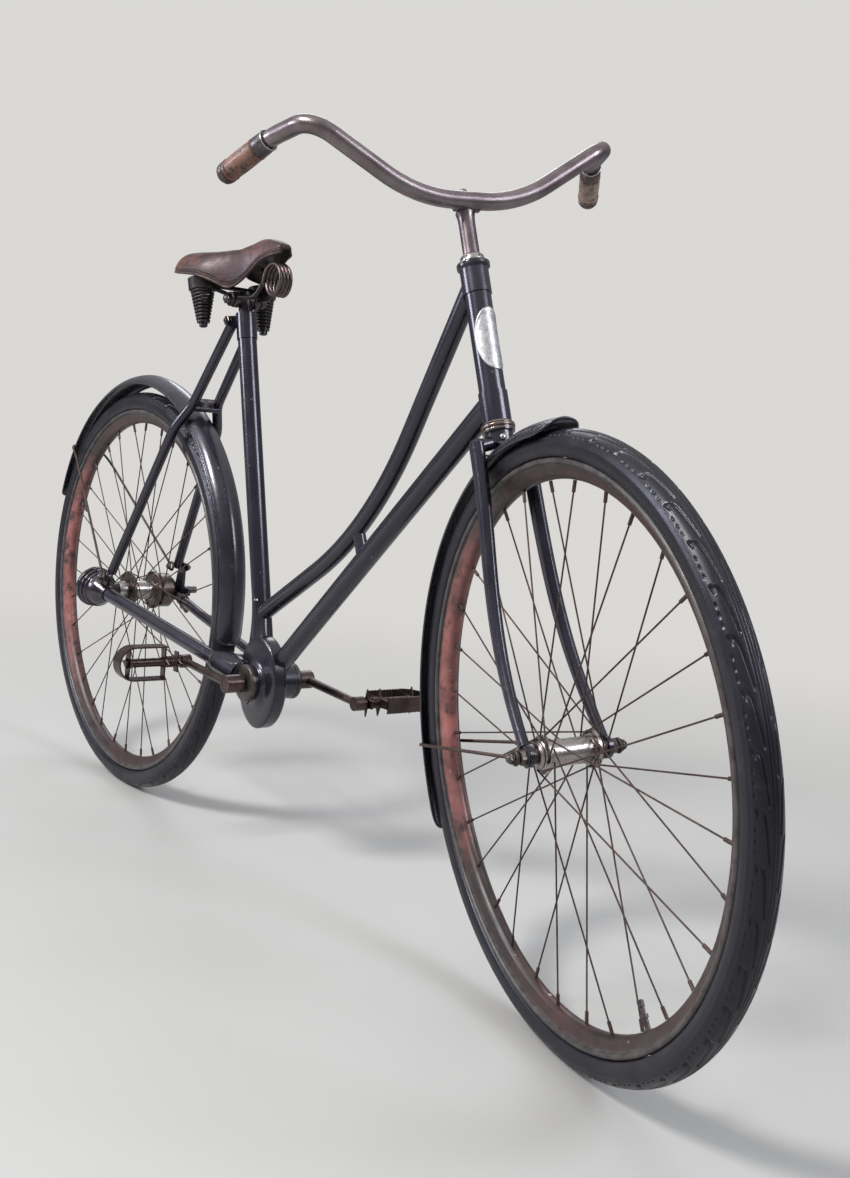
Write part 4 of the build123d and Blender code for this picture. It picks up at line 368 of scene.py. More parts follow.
FINISH = {
    BLACK: "head_tube top_tube down_tube frame_brace seat_tube gear_case shaft_tube left_fork_end "
    "left_chain_stay seat_stay_right seat_stay_left stay_bridge fork",
    GUARD_BLACK: "rear_mudguard front_mudguard",
    BELL: "rear_gear_case",
    NICKEL: "stem handlebar lock_nut",
    CRANK_STEEL: "crank_right crank_left crank_axle pedal_right pedal_left",
    HUB_NICKEL: "front_hub",
    HUB_DARK: "rear_hub",
    DARK_STEEL: "rear_axle front_axle",
    SPRING_STEEL: "saddle_frame saddle_rear_springs seat_post",
    BRIGHT: "saddle_nose_spring",
    RUSTY: "front_spokes rear_spokes front_mudguard_stays rear_mudguard_stays",
    FRONT_RIM: "front_rim",
    REAR_RIM: "rear_rim",
    RUBBER: "front_tyre rear_tyre",
    HIDE: "saddle_leather",
    GRIP: "grip_right",
    GRIP_PALE: "grip_left",
}
for finish, names in FINISH.items():
    for name in names.split():
        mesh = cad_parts[name].data
        mesh.materials.clear()
        mesh.materials.append(finish)


# Pieces


def oval(centre, across, upward, wide, high, count, phase=0):
    """Points of an oval round a centre, from its two directions and their half sizes in mm."""
    turns = [phase + 2 * pi * k / count for k in range(count)]
    return [centre + (across * wide * cos(t) + upward * high * sin(t)) / 1000 for t in turns]


def square_to(axis):
    """An axis's direction, and two directions square to it."""
    axis = Vector(axis).normalized()
    side = axis.orthogonal().normalized()
    return axis, side, axis.cross(side)


class Shape:
    """Collects vertices and faces from several simple forms into one piece."""

    def __init__(self):
        self.verts = []
        self.faces = []

    def grid(self, rows, close_u=False, close_v=False, cap=False):
        """Adds a skin over rows of points; cap closes the first and last row."""
        base = len(self.verts)
        count = len(rows[0])
        for row in rows:
            self.verts.extend(row)
        span = len(rows) if close_u else len(rows) - 1
        across = count if close_v else count - 1
        for i in range(span):
            here = base + i * count
            there = base + (i + 1) % len(rows) * count
            for j in range(across):
                k = (j + 1) % count
                self.faces.append((here + j, here + k, there + k, there + j))
        if cap:
            last = base + (len(rows) - 1) * count
            self.faces.append(tuple(range(base, base + count))[::-1])
            self.faces.append(tuple(range(last, last + count)))

    def tube(self, points, radius, sides=12, closed=False, cap=True):
        """Adds a round bar along points, in metres; radius in mm, one value or one for each point."""
        points = [Vector(p) for p in points]
        count = len(points)
        radii = radius if isinstance(radius, (list, tuple)) else [radius] * count
        rows = []
        side = None
        for i, point in enumerate(points):
            if closed:
                along = points[(i + 1) % count] - points[i - 1]
            else:
                along = points[min(i + 1, count - 1)] - points[max(i - 1, 0)]
            along.normalize()
            if side is None:
                side = along.orthogonal().normalized()
            side = (side - along * side.dot(along)).normalized()
            rows.append(oval(point, side, along.cross(side), radii[i], radii[i], sides))
        self.grid(rows, close_u=closed, close_v=True, cap=cap and not closed)

    def lathe(self, origin, axis, profile, steps=32, phase=0):
        """Adds a turned form from (along, radius) pairs in mm."""
        axis, side, other = square_to(axis)
        rows = []
        for along, radius in profile:
            radius = max(radius, 0.001)
            rows.append(oval(origin + axis * along / 1000, side, other, radius, radius, steps, phase))
        self.grid(rows, close_v=True, cap=True)

    def make(self, name, material, body="frame"):
        """Makes the collected forms one piece that rides on a body."""
        mesh = bpy.data.meshes.new(name)
        mesh.from_pydata([tuple(v) for v in self.verts], [], self.faces)
        mesh.validate()
        work = bmesh.new()
        work.from_mesh(mesh)
        bmesh.ops.recalc_face_normals(work, faces=work.faces)
        work.to_mesh(mesh)
        work.free()
        mesh.materials.append(material)
        mesh.shade_smooth()
        thing = add_object(name, mesh)
        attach(thing, body)
        return thing


def sharpen(thing, angle=35):
    """Keeps edges sharper than the angle crisp."""
    thing.data.set_sharp_from_angle(angle=radians(angle))
    return thing


def turned(name, material, body, origin, axis, profile, steps=56):
    """Makes a piece that is one turned form."""
    shape = Shape()
    shape.lathe(origin, axis, profile, steps)
    return shape.make(name, material, body)


def domed_nut(shape, origin, axis, across, height, dome):
    """Adds a hexagon nut with a washer face under it and a domed end."""
    shape.lathe(origin, axis, [(0, across * 0.64), (1, across * 0.64)], 32)
    corner = across * 0.577
    profile = [(1, across * 0.5), (1.6, corner), (height - 0.8, corner), (height, across * 0.5)]
    shape.lathe(origin, axis, profile, 6, 0.3)
    turns = [radians(a) for a in range(0, 91, 15)]
    rise = [(height + dome * sin(turn), across * 0.42 * cos(turn)) for turn in turns]
    shape.lathe(origin, axis, [(height - 1, across * 0.42)] + rise, 24)


def ring(shape, origin, axis, radius, wire, steps=64, sides=10):
    """Adds a round wire bent to a circle; sizes in mm."""
    side, other = square_to(axis)[1:]
    shape.tube(oval(origin, side, other, radius, radius, steps), wire, sides, closed=True)


def hexagon(shape, origin, axis, across, height, phase=0.3):
    """Adds a hexagon with chamfered ends; across is over its flats, in mm."""
    corner = across / sqrt(3)
    profile = [(0, 0.93 * corner), (0.7, corner), (height - 0.8, corner), (height, 0.88 * corner)]
    shape.lathe(origin, axis, profile, 6, phase)


def smooth_run(points, count=8):
    """Points of a smooth curve through the given ones; works for any equally long tuples."""
    points = [Vector(p) for p in points]
    out = []
    for i in range(len(points) - 1):
        a, b, c = points[max(i - 1, 0)], points[i], points[i + 1]
        d = points[min(i + 2, len(points) - 1)]
        for k in range(count):
            t = k / count
            bend = (2 * a - 5 * b + 4 * c - d) * t ** 2 + (3 * b - a - 3 * c + d) * t ** 3
            out.append(0.5 * (2 * b + (c - a) * t + bend))
    out.append(points[-1])
    return out


def seat_tube_at(height):
    """Centre of the seat tube at a height above the ground."""
    return at(478 - (height - CRANK_HEIGHT) / tan(radians(75.25)), 0, height)


def shaft_at(ahead):
    """Centre of the drive shaft at a distance ahead of the rear axle."""
    share = ahead / CRANK_AHEAD
    height = WHEEL_RADIUS + (SHAFT_FRONT_HEIGHT - WHEEL_RADIUS) * share
    return at(ahead, SHAFT_SIDE + SHAFT_TO_MIDDLE * share, height)


SHAFT_WAY = (shaft_at(CRANK_AHEAD) - shaft_at(0)).normalized()
CRANK = at(CRANK_AHEAD, 0, CRANK_HEIGHT)
RIGHT_EYE = at(27, -68, 385)

# Tyres with their moulded tread: slanting cuts that step back at each repeat, and three pits beside them
TREAD_REPEATS = 44
TREAD_STEPS = 26
TREAD_LENGTH = 51
TREAD_CUTS = (
    # start and end of a cut: share of the pattern along the wheel, mm from the middle
    ((0, 17), (0.12, 15.4)),
    ((0, 17), (0.07, 10.4)),
    ((0.07, 10.4), (0.22, 8.8)),
    ((0.22, 8.8), (0.95, 5.4)),
)
TREAD_PITS = (0.36, 0.56, 0.76)


def tread_depth(share, across):
    """How deep the tread is cut, in mm, at a share of the pattern and a distance from the middle."""
    across = abs(across)
    depth = 1.2 * max(0, 1 - (abs(across - 1.9) / 0.9) ** 4)
    for shift in (-1, 0, 1):
        here = Vector(((share + shift) * TREAD_LENGTH, across))
        for start, end in TREAD_CUTS:
            a = Vector((start[0] * TREAD_LENGTH, start[1]))
            run = Vector((end[0] * TREAD_LENGTH, end[1])) - a
            t = min(1, max(0, (here - a).dot(run) / run.dot(run)))
            depth = max(depth, 1.8 * max(0, 1 - ((here - a - run * t).length / 1.5) ** 4))
        for pit in TREAD_PITS:
            reach = (here - Vector((pit * TREAD_LENGTH, 18.4))).length
            depth = max(depth, 1.5 * max(0, 1 - (reach / 1.7) ** 4))
    return depth


def tyre(wheel):
    centre = WHEEL_RADIUS - TYRE_WIDTH / 2
    low = degrees(acos((TYRE_SEAT_RADIUS - centre) / (TYRE_WIDTH / 2)))
    wall = 10
    half = [62 * j / 31 for j in range(32)] + [62 + (low - 62) * (j + 1) / wall for j in range(wall)]
    angles = [-angle for angle in half[:0:-1]] + half
    table = []
    for i in range(TREAD_STEPS):
        row = []
        for angle in angles:
            share = (i / TREAD_STEPS + (0 if angle < 0 else 0.5)) % 1
            across = radians(angle) * TYRE_WIDTH / 2
            cut = tread_depth(share, across) if abs(angle) < 62 else 0
            ridge = 0.9 * exp(-(((abs(angle) - 74) / 5) ** 2))
            step = 0.8 * min(1, max(0, (abs(angle) - 60) / 8))
            row.append(TYRE_WIDTH / 2 - 0.1 - max(0, cut + step - ridge))
        table.append(row)
    shape = Shape()
    rows = []
    count = TREAD_REPEATS * TREAD_STEPS
    for i in range(count):
        turn = -360 * i / count
        row = []
        for angle, radius in zip(angles, table[i % TREAD_STEPS]):
            tilt = radians(angle)
            row.append(on_wheel(wheel, turn, centre + radius * cos(tilt), radius * sin(tilt)))
        rows.append(row)
    shape.grid(rows, close_u=True, close_v=True)
    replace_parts(shape.make(wheel + "_tyre_treaded", RUBBER, wheel + "_wheel"), wheel + "_tyre")


VALVE_PROFILE = (
    (0, 5), (2, 5), (2.4, 3.1), (13, 3.1), (13.4, 4.4), (17, 4.4), (17.6, 2.7), (24, 2.7), (24.5, 3.7),
    (31, 3.7), (32, 2.4),
)
VALVE_ANGLES = {"front": 306.5, "rear": 154}
FLANGES = {
    # places of the two flanges along the axle, their radius and their thickness
    "front": ((-31, 31), 21.8, 4),
    "rear": ((-16, 31.5), 34, 5),
}


def wheel_fittings(wheel):
    """The valve and the heads of the spokes."""
    hub, ahead, axle = WHEELS[wheel]
    up = ahead.cross(axle)
    angle = VALVE_ANGLES[wheel]
    foot = on_wheel(wheel, angle, 303, 0)
    sharpen(turned(wheel + "_valve", DARK_STEEL, wheel + "_wheel", foot, hub - foot, VALVE_PROFILE, 20))
    places, flange_radius, thickness = FLANGES[wheel]
    form = Shape()
    for index in range(32):
        count, flange = divmod(index, 2)
        way = 1 if count % 2 else -1
        face = way if flange else -way
        turn = radians(index * 11.25) + way * radians(78.75)
        reach = flange_radius - 3.2
        spot = hub + (ahead * cos(turn) - up * sin(turn)) * reach / 1000
        spot += axle * (places[flange] - face * thickness / 2) / 1000
        form.lathe(spot, axle * -face, [(-0.5, 2.1), (0.4, 2.1), (1.1, 1.5), (1.5, 0.6)], 10)
    form.make(wheel + "_spoke_heads", RUSTY, wheel + "_wheel")


for wheel in WHEELS:
    tyre(wheel)
    wheel_fittings(wheel)

# Front hub: dust caps, turned rings and the thin collars beside the flanges
form = Shape()
for out in (FORK_Y, -FORK_Y):
    cap = [
        (33.2, 15.3), (34.4, 16.8), (35.4, 15.2), (37.4, 15.6), (38.4, 14.2), (40.1, 12.6), (40.2, 9.2),
        (39.6, 9.2),
    ]
    form.lathe(FRONT_HUB, out, cap, 40)
    collar = [(26.4, 15.3), (27, 17.2), (28.4, 17.8), (29, 16.6)]
    form.lathe(FRONT_HUB, out, collar, 40)
sharpen(form.make("front_hub_caps", HUB_NICKEL, "front_wheel"))

# Front axle: washer, hexagon nut and a small domed nut at each end, with room between them for the wire's eye
form = Shape()
for out in (FORK_Y, -FORK_Y):
    base = FRONT_HUB + out * 0.0525
    form.lathe(base, out, [(0.05, 11.5), (1.3, 11.5), (1.5, 10.9)], 32)
    hexagon(form, base + out * 0.0014, out, 16.5, 7.4)
    domed_nut(form, FRONT_HUB + out * 0.0692, out, 11, 4.6, 3)
sharpen(form.make("front_axle_nuts", DARK_STEEL, "steering"))

# Rear hub: the bright domed cone beside the bell, rings on the barrel and the drum's edge lines
form = Shape()
profile = [(20, 16.4), (23, 17), (27, 16.9), (31.5, 16), (36, 14.6), (37, 14.1)]
form.lathe(REAR_HUB, -LEFT, profile, 40)
profile = [(-13, 17), (-12.6, 18), (-11.4, 18), (-11, 17.15), (26.6, 17.15), (27, 17.8), (28.8, 17.8)]
form.lathe(REAR_HUB, LEFT, profile, 48)
sharpen(form.make("rear_hub_rings", HUB_NICKEL, "rear_wheel"))

# Rear bell: three rounded rings stepped back from the shaft, with the boss and ear that it carries
form = Shape()
profile = [(-35, 1), (-34.6, 9), (-33.4, 18), (-31.6, 27), (-30.2, 32), (-28.9, 34.2)]
one_ring = ((0, 1), (0.6, 0.3), (1.6, 0), (5.4, 0), (6.4, 0.3), (7, 1.1), (7.3, 3.6), (8.5, 3.8))
for step in range(3):
    start = -28 + 9 * step
    radius = 36 - 2.2 * step
    profile += [(start + along, radius - drop) for along, drop in one_ring]
profile[-2:] = [(-2.7, 28.8), (-1.4, 27.6)]
profile += [(1, 27.4), (5, 26.4), (10, 24.2), (15, 21.4), (20, 18.4), (25, 15.6), (30, 13.5)]
form.lathe(shaft_at(0), SHAFT_WAY, profile, 96)
form.lathe(shaft_at(0), LEFT, [(0, 14), (35.6, 14), (37, 13.2), (37.6, 12)], 40)
profile = [(0, 6.6), (0.6, 7.7), (1.6, 8), (10.4, 8), (11.4, 7.7), (12, 6.6)]
form.lathe(RIGHT_EYE - LEFT * 0.006, LEFT, profile, 32)
form.tube([RIGHT_EYE, shaft_at(13.5)], 7, 24)
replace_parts(sharpen(form.make("rear_bell", BELL), 50), "rear_gear_case")
form = Shape()
LEFT_EYE = at(27, 73.5 - 16.4 - 3.6 - 0.6, 405)
domed_nut(form, RIGHT_EYE - LEFT * 0.0137, -LEFT, 11, 4.5, 3)
domed_nut(form, LEFT_EYE - LEFT * 0.0038, -LEFT, 10, 4, 2.5)
domed_nut(form, at(36, 78.6, 404), LEFT, 11, 5, 3)
sharpen(form.make("rear_ear_nuts", DARK_STEEL))

# Pinion bell: the bright ring at its mouth
mouth = shaft_at(463) - SHAFT_WAY * 0.072
profile = [(-0.6, 12.4), (-0.6, 14.4), (0, 15), (1.8, 15), (2.2, 14.5)]
sharpen(turned("pinion_mouth_ring", BRONZE, "frame", mouth, SHAFT_WAY, profile, 40))

# Crank shell: lock rings in the recesses, the bright edge of the right mouth, and the cap screws
form = Shape()
for out in (LEFT, -LEFT):
    face = CRANK + out * 0.0435
    profile = [
        (-3.6, 22.4), (-1.2, 22.4), (-0.5, 21.8), (-0.5, 19.2), (-1.4, 18.6), (-1.4, 14.9), (-2.2, 14.4),
    ]
    form.lathe(face, out, profile + [(-3.6, 14.4)], 48)
    profile = [(0, 27), (0.4, 28.2), (5.2, 28.3), (6.3, 27.6), (6.8, 26.4), (6.6, 22.5)]
    form.lathe(face - out * 0.0065, out, profile, 64)
sharpen(form.make("shell_lock_rings", DARK_STEEL))
form = Shape()
for left in (-0.0205, 0.0045):
    ring(form, CRANK + LEFT * left, LEFT, 27.6, 1.1, 72)
form.make("shell_bands", BLACK)
form = Shape()
profile = [(-1, 4.4), (1.8, 4.4), (2.6, 3.6), (2.7, 1.8)]
form.lathe(CRANK + Vector((0.004, -0.0375, -0.0268)), -UP, profile, 24)
hexagon(form, CRANK + Vector((0.004, -0.0375, -0.029)), -UP, 6.4, 3)
sharpen(form.make("shell_screws", BRONZE))

# Gear case: the bulging right face that flows into the shell, and the neck of the seat tube
form = Shape()
rows = []
for share, lift in (
    (0, -0.4), (0.02, 0.8), (0.06, 1.7), (0.14, 2.5), (0.3, 3.2), (0.5, 3.8), (0.7, 4.4), (0.84, 5.4),
    (0.93, 7), (0.98, 9), (1, 11),
):
    long, high = 55 + (27.4 - 55) * share, 71 + (27.4 - 71) * share
    rows.append(oval(CRANK + LEFT * (-19 - lift) / 1000, AHEAD, UP, long, high, 96))
form.grid(rows, close_v=True, cap=True)
rows = []
for share in [k / 14 for k in range(15)]:
    height = 332 + 84 * share
    ease = share * share * (3 - 2 * share)
    wide = 14.75 + 17 * (1 - share) ** 2.4
    thick = 11 + 3.75 * ease
    rows.append(oval(seat_tube_at(height) - LEFT * 8 * (1 - ease) / 1000, AHEAD, LEFT, wide, thick, 48))
form.grid(rows, close_v=True, cap=True)
across = (LEFT - SHAFT_WAY * LEFT.dot(SHAFT_WAY)).normalized()
upward = SHAFT_WAY.cross(across)
rows = []
for along, high, wide, shift in (
    (0.5, 14.2, 14.2, 0), (1.2, 14.9, 14.9, 0), (5, 15.2, 15, 0), (9, 16.6, 15.9, 0.3), (16, 19.6, 17.6, 1),
    (26, 22.2, 18.8, 1.8), (38, 23.6, 19.3, 2.2), (52, 24.2, 19.5, 2.4), (66, 23.8, 19.4, 2.4),
    (74, 21, 17, 2.4),
):
    middle = mouth + (SHAFT_WAY * along + across * shift) / 1000
    rows.append(oval(middle, across, upward, wide, high, 48))
form.grid(rows, close_v=True, cap=True)
form.make("gear_case_face", BLACK)

# Pedals: a strip with notched edges bent to a loop, three star plates on a ribbed barrel, and a nut
PEDAL_STEP = 22
PEDAL_HALF = 27
PEDAL_STAR = ((21, 0), (7, 5), (6, 26.2))


def pedal(name, side, tread_way, spur_way):
    """A pedal beside its crank's eye; tread_way is where the strip faces, spur_way where the stars point."""
    out = LEFT * side
    inner = at(CRANK_AHEAD + side * 145.9, side * 82, CRANK_HEIGHT - side * 5.1)
    path = [(PEDAL_STEP + (75 - PEDAL_STEP) * k / 38, PEDAL_HALF, 0, 1) for k in range(39)]
    for k in range(1, 24):
        turn = pi * k / 24
        lean, face = sin(turn), cos(turn)
        path.append((75 + PEDAL_HALF * lean, PEDAL_HALF * face, lean, face))
    path += [(along, -level, 0, -1) for along, level, *_ in path[38::-1]]
    strip = Shape()
    rows = []
    for along, level, lean, face in path:
        wave = abs((along / 5.6) % 1 - 0.5) * 2
        half = 12.4 - (2.2 * max(0, 1 - wave * 2.6) if abs(level) > 26.9 else 0)
        row = []
        section = ((-half, 2.4), (-half, 0.5), (-half + 0.5, 0), (half - 0.5, 0), (half, 0.5), (half, 2.4))
        for width, depth in section:
            spot = out * (along - lean * depth) + tread_way * (level - face * depth) + spur_way * width
            row.append(inner + spot / 1000)
        rows.append(row)
    strip.grid(rows, close_v=True, cap=True)
    loop = sharpen(strip.make("pedal_strip_" + name, CRANK_STEEL, "pedal_turn_" + name), 40)
    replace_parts(loop, "pedal_" + name)
    core = Shape()
    outline = [(u, -v) for u, v in PEDAL_STAR[:0:-1]] + list(PEDAL_STAR)
    outline += [(-u, -v) for u, v in outline]
    for place in (0, PEDAL_STEP, 81.6):
        squeeze = 0.62 if place == 0 else 1
        rows = []
        for along in (place, place + 2.4):
            spots = [out * along + spur_way * u + tread_way * v * squeeze for u, v in outline]
            rows.append([inner + spot / 1000 for spot in spots])
        core.grid(rows, close_v=True, cap=True)
    profile = [(0, 9)]
    for k in range(5):
        profile += [(2.6 + 3.8 * k, 9), (3.4 + 3.8 * k, 7.4), (4.8 + 3.8 * k, 7.4), (5.6 + 3.8 * k, 9)]
    profile += [(24.5, 9), (26, 7.6), (30, 6.9), (78, 6.9), (79, 8.2), (84, 8.2)]
    core.lathe(inner, out, profile, 32)
    core.lathe(inner + out * 0.084, out, [(0, 6.6), (2.4, 6.6), (3.2, 5.8), (3.4, 2)], 24)
    core.lathe(inner - out * 0.0046, out, [(0, 6.4), (0.5, 7.4), (3.8, 7.4), (4.4, 6.6)], 28)
    sharpen(core.make("pedal_core_" + name, CRANK_STEEL, "pedal_turn_" + name), 40)


pedal("right", -1, UP, AHEAD)
pedal("left", 1, AHEAD, UP)

# Seat lug: hexagons and the tip of the binder bolt, and the nuts of the saddle's clamp
form = Shape()
binder = seat_tube_at(836) - AHEAD * 0.033
clamp = seat_tube_at(868)
for out in (LEFT, -LEFT):
    hexagon(form, binder + out * 0.0112, out, 14, 7.2)
    form.lathe(binder + out * 0.0182, out, [(0, 4.4), (2.2, 4.2), (3.4, 2.6)], 20)
    form.lathe(clamp + out * 0.0258, out, [(0, 11.2), (1.6, 11.2), (2, 10.4)], 32)
    domed_nut(form, clamp + out * 0.0276, out, 15, 7, 3.4)
sharpen(form.make("seat_nuts", DARK_STEEL))

# Saddle clamp: the two serrated straps that grip the frame wires over the post
form = Shape()
for out in (LEFT, -LEFT):
    for start in oval(clamp + out * 0.0225, AHEAD, UP, 10, 10, 24):
        form.tube([start, start + out * 0.0032], 0.9, 6)
    form.lathe(clamp + out * 0.012, out, [(0, 10.4), (1, 12.2), (9, 12.2), (10, 10.6)], 40)
form.make("saddle_clamp_straps", DARK_STEEL)

# Bridge between the seat stays: the two bolts on it
form = Shape()
bridge_way = Vector((106, 0, 129)).normalized()
for side in (1, -1):
    spot = at(216, side * 9.5, 700) + bridge_way * 0.0045
    form.lathe(spot, bridge_way, [(0, 6.4), (1, 6.4), (1.2, 6)], 24)
    hexagon(form, spot + bridge_way * 0.001, bridge_way, 9.6, 4.2, 0.8)
sharpen(form.make("bridge_bolts", DARK_STEEL))

# Brake clip: the screw below it
form = Shape()
domed_nut(form, at(60, 64.2, 336.6), Vector((0.05, 0, -1)), 9, 4, 2)
sharpen(form.make("brake_clip_screw", BRONZE))

# Steering head: rolled upper cup, bright lower cup and race, and the lock nut with painted shade for its pin
# holes
profile = [
    (-8.2, 17.9), (-7.6, 18.2), (-5.2, 18.6), (-4.6, 19.7), (-3.2, 20.6), (-0.9, 20.6), (0, 19.8), (0.25, 15),
]
turned("upper_head_cup", BLACK, "frame", on_head(0, 0, HEAD_TOP), HEAD_Z, profile)
profile = [
    (-0.05, 16), (-0.05, 20), (0.7, 20.9), (2.6, 21), (4.2, 20.3), (5.2, 18.9), (6.6, 18.3), (7.9, 17.9),
]
turned("lower_head_cup", BRONZE, "frame", on_head(0, 0, HEAD_BOTTOM), HEAD_Z, profile)
profile = [(-5.2, 17.2), (-4.6, 19), (-3.6, 20), (-1.6, 20.3), (-0.8, 19.6), (-0.6, 16)]
turned("crown_race", BRONZE, "steering", on_head(0, 0, HEAD_BOTTOM), HEAD_Z, profile)
nut_foot = on_head(0, 0, HEAD_TOP + 0.3)
profile = [(0, 15.2), (0.6, 15.9), (2.8, 15.9), (3.4, 15), (8.4, 14.7), (9.6, 13.8), (11, 12.4), (11.2, 10.6)]
lock_nut = sharpen(turned("lock_nut_turned", HUB_NICKEL, "steering", nut_foot, HEAD_Z, profile, 48))
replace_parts(lock_nut, "lock_nut")
# Pin holes: small dark discs on the nut, painted shade standing in for the holes
form = Shape()
for k in range(6):
    turn = radians(60 * k + 10)
    way = FORK_X * cos(turn) + FORK_Y * sin(turn)
    form.lathe(nut_foot + HEAD_Z * 0.006 + way * 0.0142, way, [(0, 1.5), (0.75, 1.5), (0.8, 1)], 12)
form.make("lock_nut_pin_hole_shade", THREAD, "steering")

# Oval plate on the head tube, bare, with a rolled border
PLATE_HALF_HEIGHT = 40
PLATE_HALF_ARC = 82
form = Shape()
rows = []
for i in range(41):
    level = -1 + 2 * i / 40
    reach = PLATE_HALF_ARC * sqrt(max(0.0004, 1 - level * level))
    outer, inner = [], []
    for j in range(45):
        share = -1 + 2 * j / 44
        turn = radians(reach * share)
        border = hypot(level, share * sqrt(max(0, 1 - level * level)))
        lift = 0.55 * exp(-(((border - 0.955) / 0.03) ** 2))
        lift += 0.28 * exp(-(((border - 0.8) / 0.018) ** 2))
        dent = 0.1 * noise.noise(Vector((share * 3, level * 5, 2)))
        height = 501 + PLATE_HALF_HEIGHT * level
        for radius, into in ((17.1 + lift + dent, outer), (16.35, inner)):
            into.append(on_head(radius * cos(turn), radius * sin(turn), height))
    rows.append(outer + inner[::-1])
form.grid(rows, close_v=True, cap=True)
form.make("head_plate_blank", PLATE)

# Crown: the guard's bolt and its small bracket
form = Shape()
form.lathe(on_fork(15.5, -4, 376.5), FORK_X, [(0, 4.2), (2.6, 4.2), (3.8, 3), (4.4, 1)], 24)
for side in (-1, 1):
    bracket = [on_fork(3, side * 26.5, 358), on_fork(7, side * 21, 356), on_fork(12, side * 16, 362)]
    form.tube(bracket, 1.5, 8)
form.make("crown_bolt_and_bracket", BRIGHT, "steering")

# Stem: a tube flared under the sleeve that holds the bar, with the head of the wedge bolt above
form = Shape()
profile = [(0, 10.4), (110, 10.4), (116, 10.6), (120, 11.1), (123, 11.9), (125, 12.3), (129, 11)]
form.lathe(on_fork(0, 0, 545), HEAD_Z, profile, 48)
profile = [(-16, 11.1), (-16, 11.9), (-15.4, 12.4), (-13.9, 12.4), (-13.5, 12), (13.5, 12), (13.9, 12.4)]
form.lathe(on_fork(8.3, 0, 681), FORK_Y, profile + [(15.4, 12.4), (16, 11.9), (16, 11.1)], 56)
profile = [(8, 7.4), (13.4, 7.2), (14, 5.5), (17.2, 5.5), (18.7, 4.8), (19.3, 3.2), (19.4, 0.8)]
form.lathe(on_fork(2, 0, 681), HEAD_Z, profile, 32)
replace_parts(sharpen(form.make("stem_turned", NICKEL, "steering"), 50), "stem")


# Mudguards: pressed steel with a rolled edge and rounded ends
def guard(name, centre, ahead, axle, radius, width, crown, start, end, tip, body, node):
    """A mudguard from one angle to the other round its own centre; sizes in mm, angles in degrees."""
    up = ahead.cross(axle)
    half = width / 2
    arc = (half ** 2 + crown ** 2) / (2 * crown)
    spread = asin(half / arc)
    length = radians(end - start) * radius

    def point(along, share, lift):
        turn = radians(start) + along / radius
        tilt = spread * share
        out = radius - arc + (arc + lift) * cos(tilt)
        side = (arc + lift) * sin(tilt)
        return centre + (ahead * cos(turn) + up * sin(turn)) * out / 1000 + axle * side / 1000

    places = [tip * (1 - cos(radians(a))) for a in range(0, 90, 9)]
    middle = [tip + (length - 2 * tip) * k / 110 for k in range(111)]
    places = places + middle + [length - p for p in places[::-1]]
    shape = Shape()
    rows, left_edge, right_edge = [], [], []
    for along in places:
        near = min(along, length - along)
        reach = 0.3 + 0.7 * sqrt(max(0, 1 - (1 - min(near, tip) / tip) ** 2))
        shares = [reach * (-1 + 2 * j / 22) for j in range(23)]
        ridge = [0.5 * exp(-((share / 0.16) ** 2)) for share in shares]
        outer = [point(along, share, -0.5 + lift) for share, lift in zip(shares, ridge)]
        inner = [point(along, share, -1.6 + lift) for share, lift in zip(shares, ridge)]
        rows.append(outer + inner[::-1])
        left_edge.append(point(along, reach, -0.9))
        right_edge.append(point(along, -reach, -0.9))
    shape.grid(rows, close_v=True, cap=True)
    first = [point(0, 0.3 * (1 - 2 * j / 12), -0.9) for j in range(13)]
    last = [point(length, 0.3 * (-1 + 2 * j / 12), -0.9) for j in range(13)]
    shape.tube(left_edge + last[::-1][1:-1] + right_edge[::-1] + first[::-1][1:-1], 1.7, 8, closed=True)
    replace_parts(shape.make(name, GUARD_BLACK, body), node)
    return point


rear_guard = guard(
    "rear_guard_rolled", at(6, 0, 384), AHEAD, LEFT, 361, 49, 16, -9.5, 161.5, 26, "frame",
    "rear_mudguard",
)
front_guard = guard(
    "front_guard_rolled", FRONT_HUB, FRONT_AHEAD, FORK_Y, 369, 52, 18, 94.5, 212, 42, "steering",
    "front_mudguard",
)

# Mudguard wires: an eye at each foot, and a bend over the guard
form = Shape()
along = radians(194 - 94.5) * 369
ends = []
for side in (1, -1):
    eye = FRONT_HUB + FORK_Y * side * 0.0655
    way = (front_guard(along, side, 2.4) - eye).normalized()
    ring(form, eye, FORK_Y, 7.2, 2.2, 32, 8)
    ends.append(eye + way * 0.0085)
hoop = [front_guard(along, 1 - 0.2 * k, 2.6) for k in range(11)]
form.tube([ends[0], *smooth_run(hoop, 4), ends[1]], 2.2, 10)
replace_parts(form.make("front_guard_wires", RUSTY, "steering"), "front_mudguard_stays")
form = Shape()
along = radians(142 + 9.5) * 361
for side, eye in ((-1, RIGHT_EYE - LEFT * 0.0099), (1, LEFT_EYE)):
    ring(form, eye, LEFT, 7, 2.2, 32, 8)
    edge = rear_guard(along, side * 1.02, 2.6)
    way = (edge - eye).normalized()
    start = eye + way * 0.0085
    bend = edge - way * 0.06 + Vector((0.004, side * 0.001, 0.003))
    hook = [rear_guard(along + 3, side * share, 2.6) for share in (0.98, 0.85, 0.7)]
    run = [start, start + (bend - start) * 0.5, bend, edge - way * 0.012, *hook]
    form.tube(smooth_run(run, 6), 2.2, 10)
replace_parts(form.make("rear_guard_wires", RUSTY), "rear_mudguard_stays")

